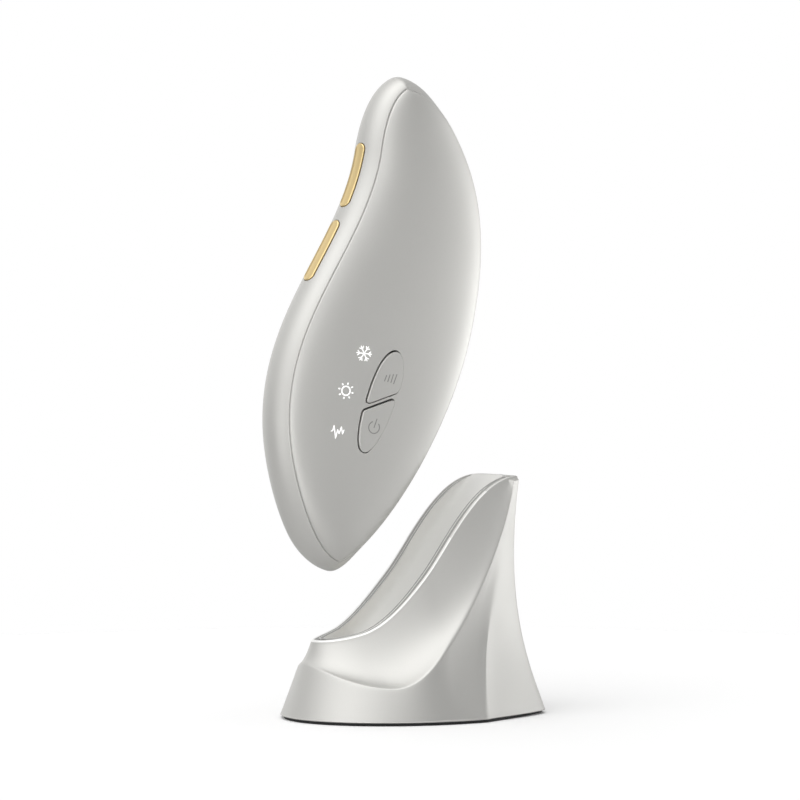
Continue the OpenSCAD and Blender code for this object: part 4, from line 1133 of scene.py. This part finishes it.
def build_liner():
    """The trough as one closed sheet: its inside, a rounded lip and its outside."""
    ws = np.concatenate([[.002], np.linspace(0, 1, 70)[1:]])
    vs = np.sin(np.linspace(-math.pi/2, math.pi/2, 61))
    n_in = [[trough(w, v, 0) for v in vs] for w in ws]
    n_out = [[trough(w, v, LINER_WALL) for v in vs] for w in ws]
    rows = []
    for a, b in zip(n_in, n_out):
        left, right = ([lowered(a[e] + (b[e] - a[e])*k, LIP_ROUND*drop) for k, drop in LIP_ROWS]
                       for e in (0, -1))
        rows.append(b[::-1] + left[::-1] + a[1:-1] + right)
    rows = np.array(rows)
    n, m = rows.shape[:2]
    faces = []
    for i in range(n - 1):
        for j in range(m):
            k = (j + 1) % m
            faces.append((i*m + j, (i + 1)*m + j, (i + 1)*m + k, i*m + k))
    faces += [tuple(range(m)), tuple((n - 1)*m + j for j in range(m))[::-1]]
    # columns on the flat of the lip, which get the rim's painted shade
    lip = {len(vs) - 1, len(vs), 2*len(vs) + 3, 2*len(vs) + 4}
    flat = [k for k in range((n - 1)*m) if k % m in lip]
    return mesh_object("trough_form", rows.reshape(-1, 3), faces), flat


liner, flat_faces = build_liner()
piece(liner, "stand", "stand_paint", trough_painted_light, "trough_liner")
liner.data.materials.append(rim_painted_shade)
for k in flat_faces:
    liner.data.polygons[k].material_index = 1

# ---- carried CAD nodes

CARRIED = {
    "button_pad": silicone, "icon_guide": clear_guide, "control_board": board_green, "battery": cell_blue,
    "cooler": ceramic, "heat_spreader": bare_aluminium, "heat_sink": bare_aluminium,
    "body_frame": black_plastic, "charge_pads": gold, "base_plate": black_plastic, "rubber_foot": rubber,
    "ballast": steel, "dock_board": board_green, "usb_port": steel, "contact_block": black_plastic,
    "charge_pin_near": gold, "charge_pin_far": gold, "base_screws": steel,
}
for name, mat in CARRIED.items():
    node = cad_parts[name]
    if not node.data.materials:
        node.data.materials.append(mat)
    for slot in node.material_slots:
        slot.material = mat

# ---- stage, light and camera

AZIMUTH = math.radians(-26)
TOWARDS_CAMERA = Vector((math.sin(AZIMUTH), -math.cos(AZIMUTH), 0))
PICTURE_RIGHT = Vector((math.cos(AZIMUTH), math.sin(AZIMUTH), 0))


def math_node(tree, operation, a, b=None):
    """A maths node; each input is a socket or a number."""
    node = add_node(tree, "Math")
    node.operation = operation
    for k, value in enumerate((a, b)):
        if isinstance(value, (int, float)):
            node.inputs[k].default_value = value
        elif value is not None:
            tree.links.new(value, node.inputs[k])
    return node.outputs[0]


# the floor is paler to the camera than it is as a source of bounced light
FLOOR_RADIUS, FLOOR_FILL, FLOOR_ALBEDO, FLOOR_SEEN = .3, .03, .55, .95


def floor_material():
    """A pale matt floor that is white in the picture except where it is shaded."""
    mat, tree, bsdf = new_material("floor_white")
    bsdf.inputs["Roughness"].default_value = 1
    bsdf.inputs["Specular IOR Level"].default_value = 0
    path = add_node(tree, "LightPath")
    tone = color_mix(tree, [FLOOR_ALBEDO]*3, [FLOOR_SEEN]*3)
    tree.links.new(path.outputs["Is Camera Ray"], tone.inputs["Factor"])
    tree.links.new(tone.outputs["Result"], bsdf.inputs["Base Color"])
    bsdf.inputs["Emission Color"].default_value = (1, 1, 1, 1)
    tree.links.new(math_node(tree, "MULTIPLY", path.outputs["Is Camera Ray"], FLOOR_FILL),
                   bsdf.inputs["Emission Strength"])
    return mat


bpy.ops.mesh.primitive_circle_add(vertices=128, radius=FLOOR_RADIUS, fill_type="NGON", location=(0, 0, 0))
floor = bpy.context.object
floor.name = "floor"
floor.data.materials.append(floor_material())

# soft patches of light far off: azimuth from the camera to the picture's right, height, tightness, strength
PATCHES = [
    (-38, 48, 5.9, 2.3),
    (105, -16, 6.3, 3.4),
    (-155, 8, 2.2, 1.08),
    (-2, 84, 14, 1.65),
    (-47, -11, 34, 2.5),
    (8, -4, 29, 4.0),
]
AMBIENT = .02


def build_world():
    """White to the camera, and lit by the patches and an even rest for everything else."""
    world = bpy.data.worlds.new("studio")
    bpy.context.scene.world = world
    world.use_nodes = True
    tree = world.node_tree
    background = tree.nodes["Background"]
    background.inputs["Color"].default_value = (1, 1, 1, 1)
    coord = add_node(tree, "TexCoord")
    total = AMBIENT
    for azimuth, height, tight, strength in PATCHES:
        a, h = math.radians(azimuth), math.radians(height)
        level = TOWARDS_CAMERA*math.cos(a) + PICTURE_RIGHT*math.sin(a)
        dot = add_node(tree, "VectorMath")
        dot.operation = "DOT_PRODUCT"
        dot.inputs[1].default_value = level*math.cos(h) + Vector((0, 0, math.sin(h)))
        tree.links.new(coord.outputs["Generated"], dot.inputs[0])
        away = math_node(tree, "MULTIPLY", math_node(tree, "SUBTRACT", dot.outputs["Value"], 1), tight)
        patch = math_node(tree, "MULTIPLY", math_node(tree, "EXPONENT", away), strength)
        total = math_node(tree, "ADD", patch, total)
    path = add_node(tree, "LightPath")
    seen = math_node(tree, "MAXIMUM", path.outputs["Is Camera Ray"], path.outputs["Is Transmission Ray"])
    lit = math_node(tree, "MULTIPLY", total, math_node(tree, "SUBTRACT", 1, seen))
    tree.links.new(math_node(tree, "ADD", lit, seen), background.inputs["Strength"])


build_world()

DISTANCE, LOOK_AT, LENS, SENSOR = .78, Vector((-.0041, 0, .0853)), 129.6, 36
cam = bpy.data.cameras.new("camera")
cam.lens, cam.sensor_width = LENS, SENSOR
cam.clip_start, cam.clip_end = .01, 50
camera = bpy.data.objects.new("camera", cam)
camera.location = LOOK_AT + TOWARDS_CAMERA*DISTANCE
camera.rotation_euler = (-TOWARDS_CAMERA).to_track_quat("-Z", "Y").to_euler()
bpy.context.scene.collection.objects.link(camera)
bpy.context.scene.camera = camera
bpy.context.scene.view_settings.view_transform = "Standard"
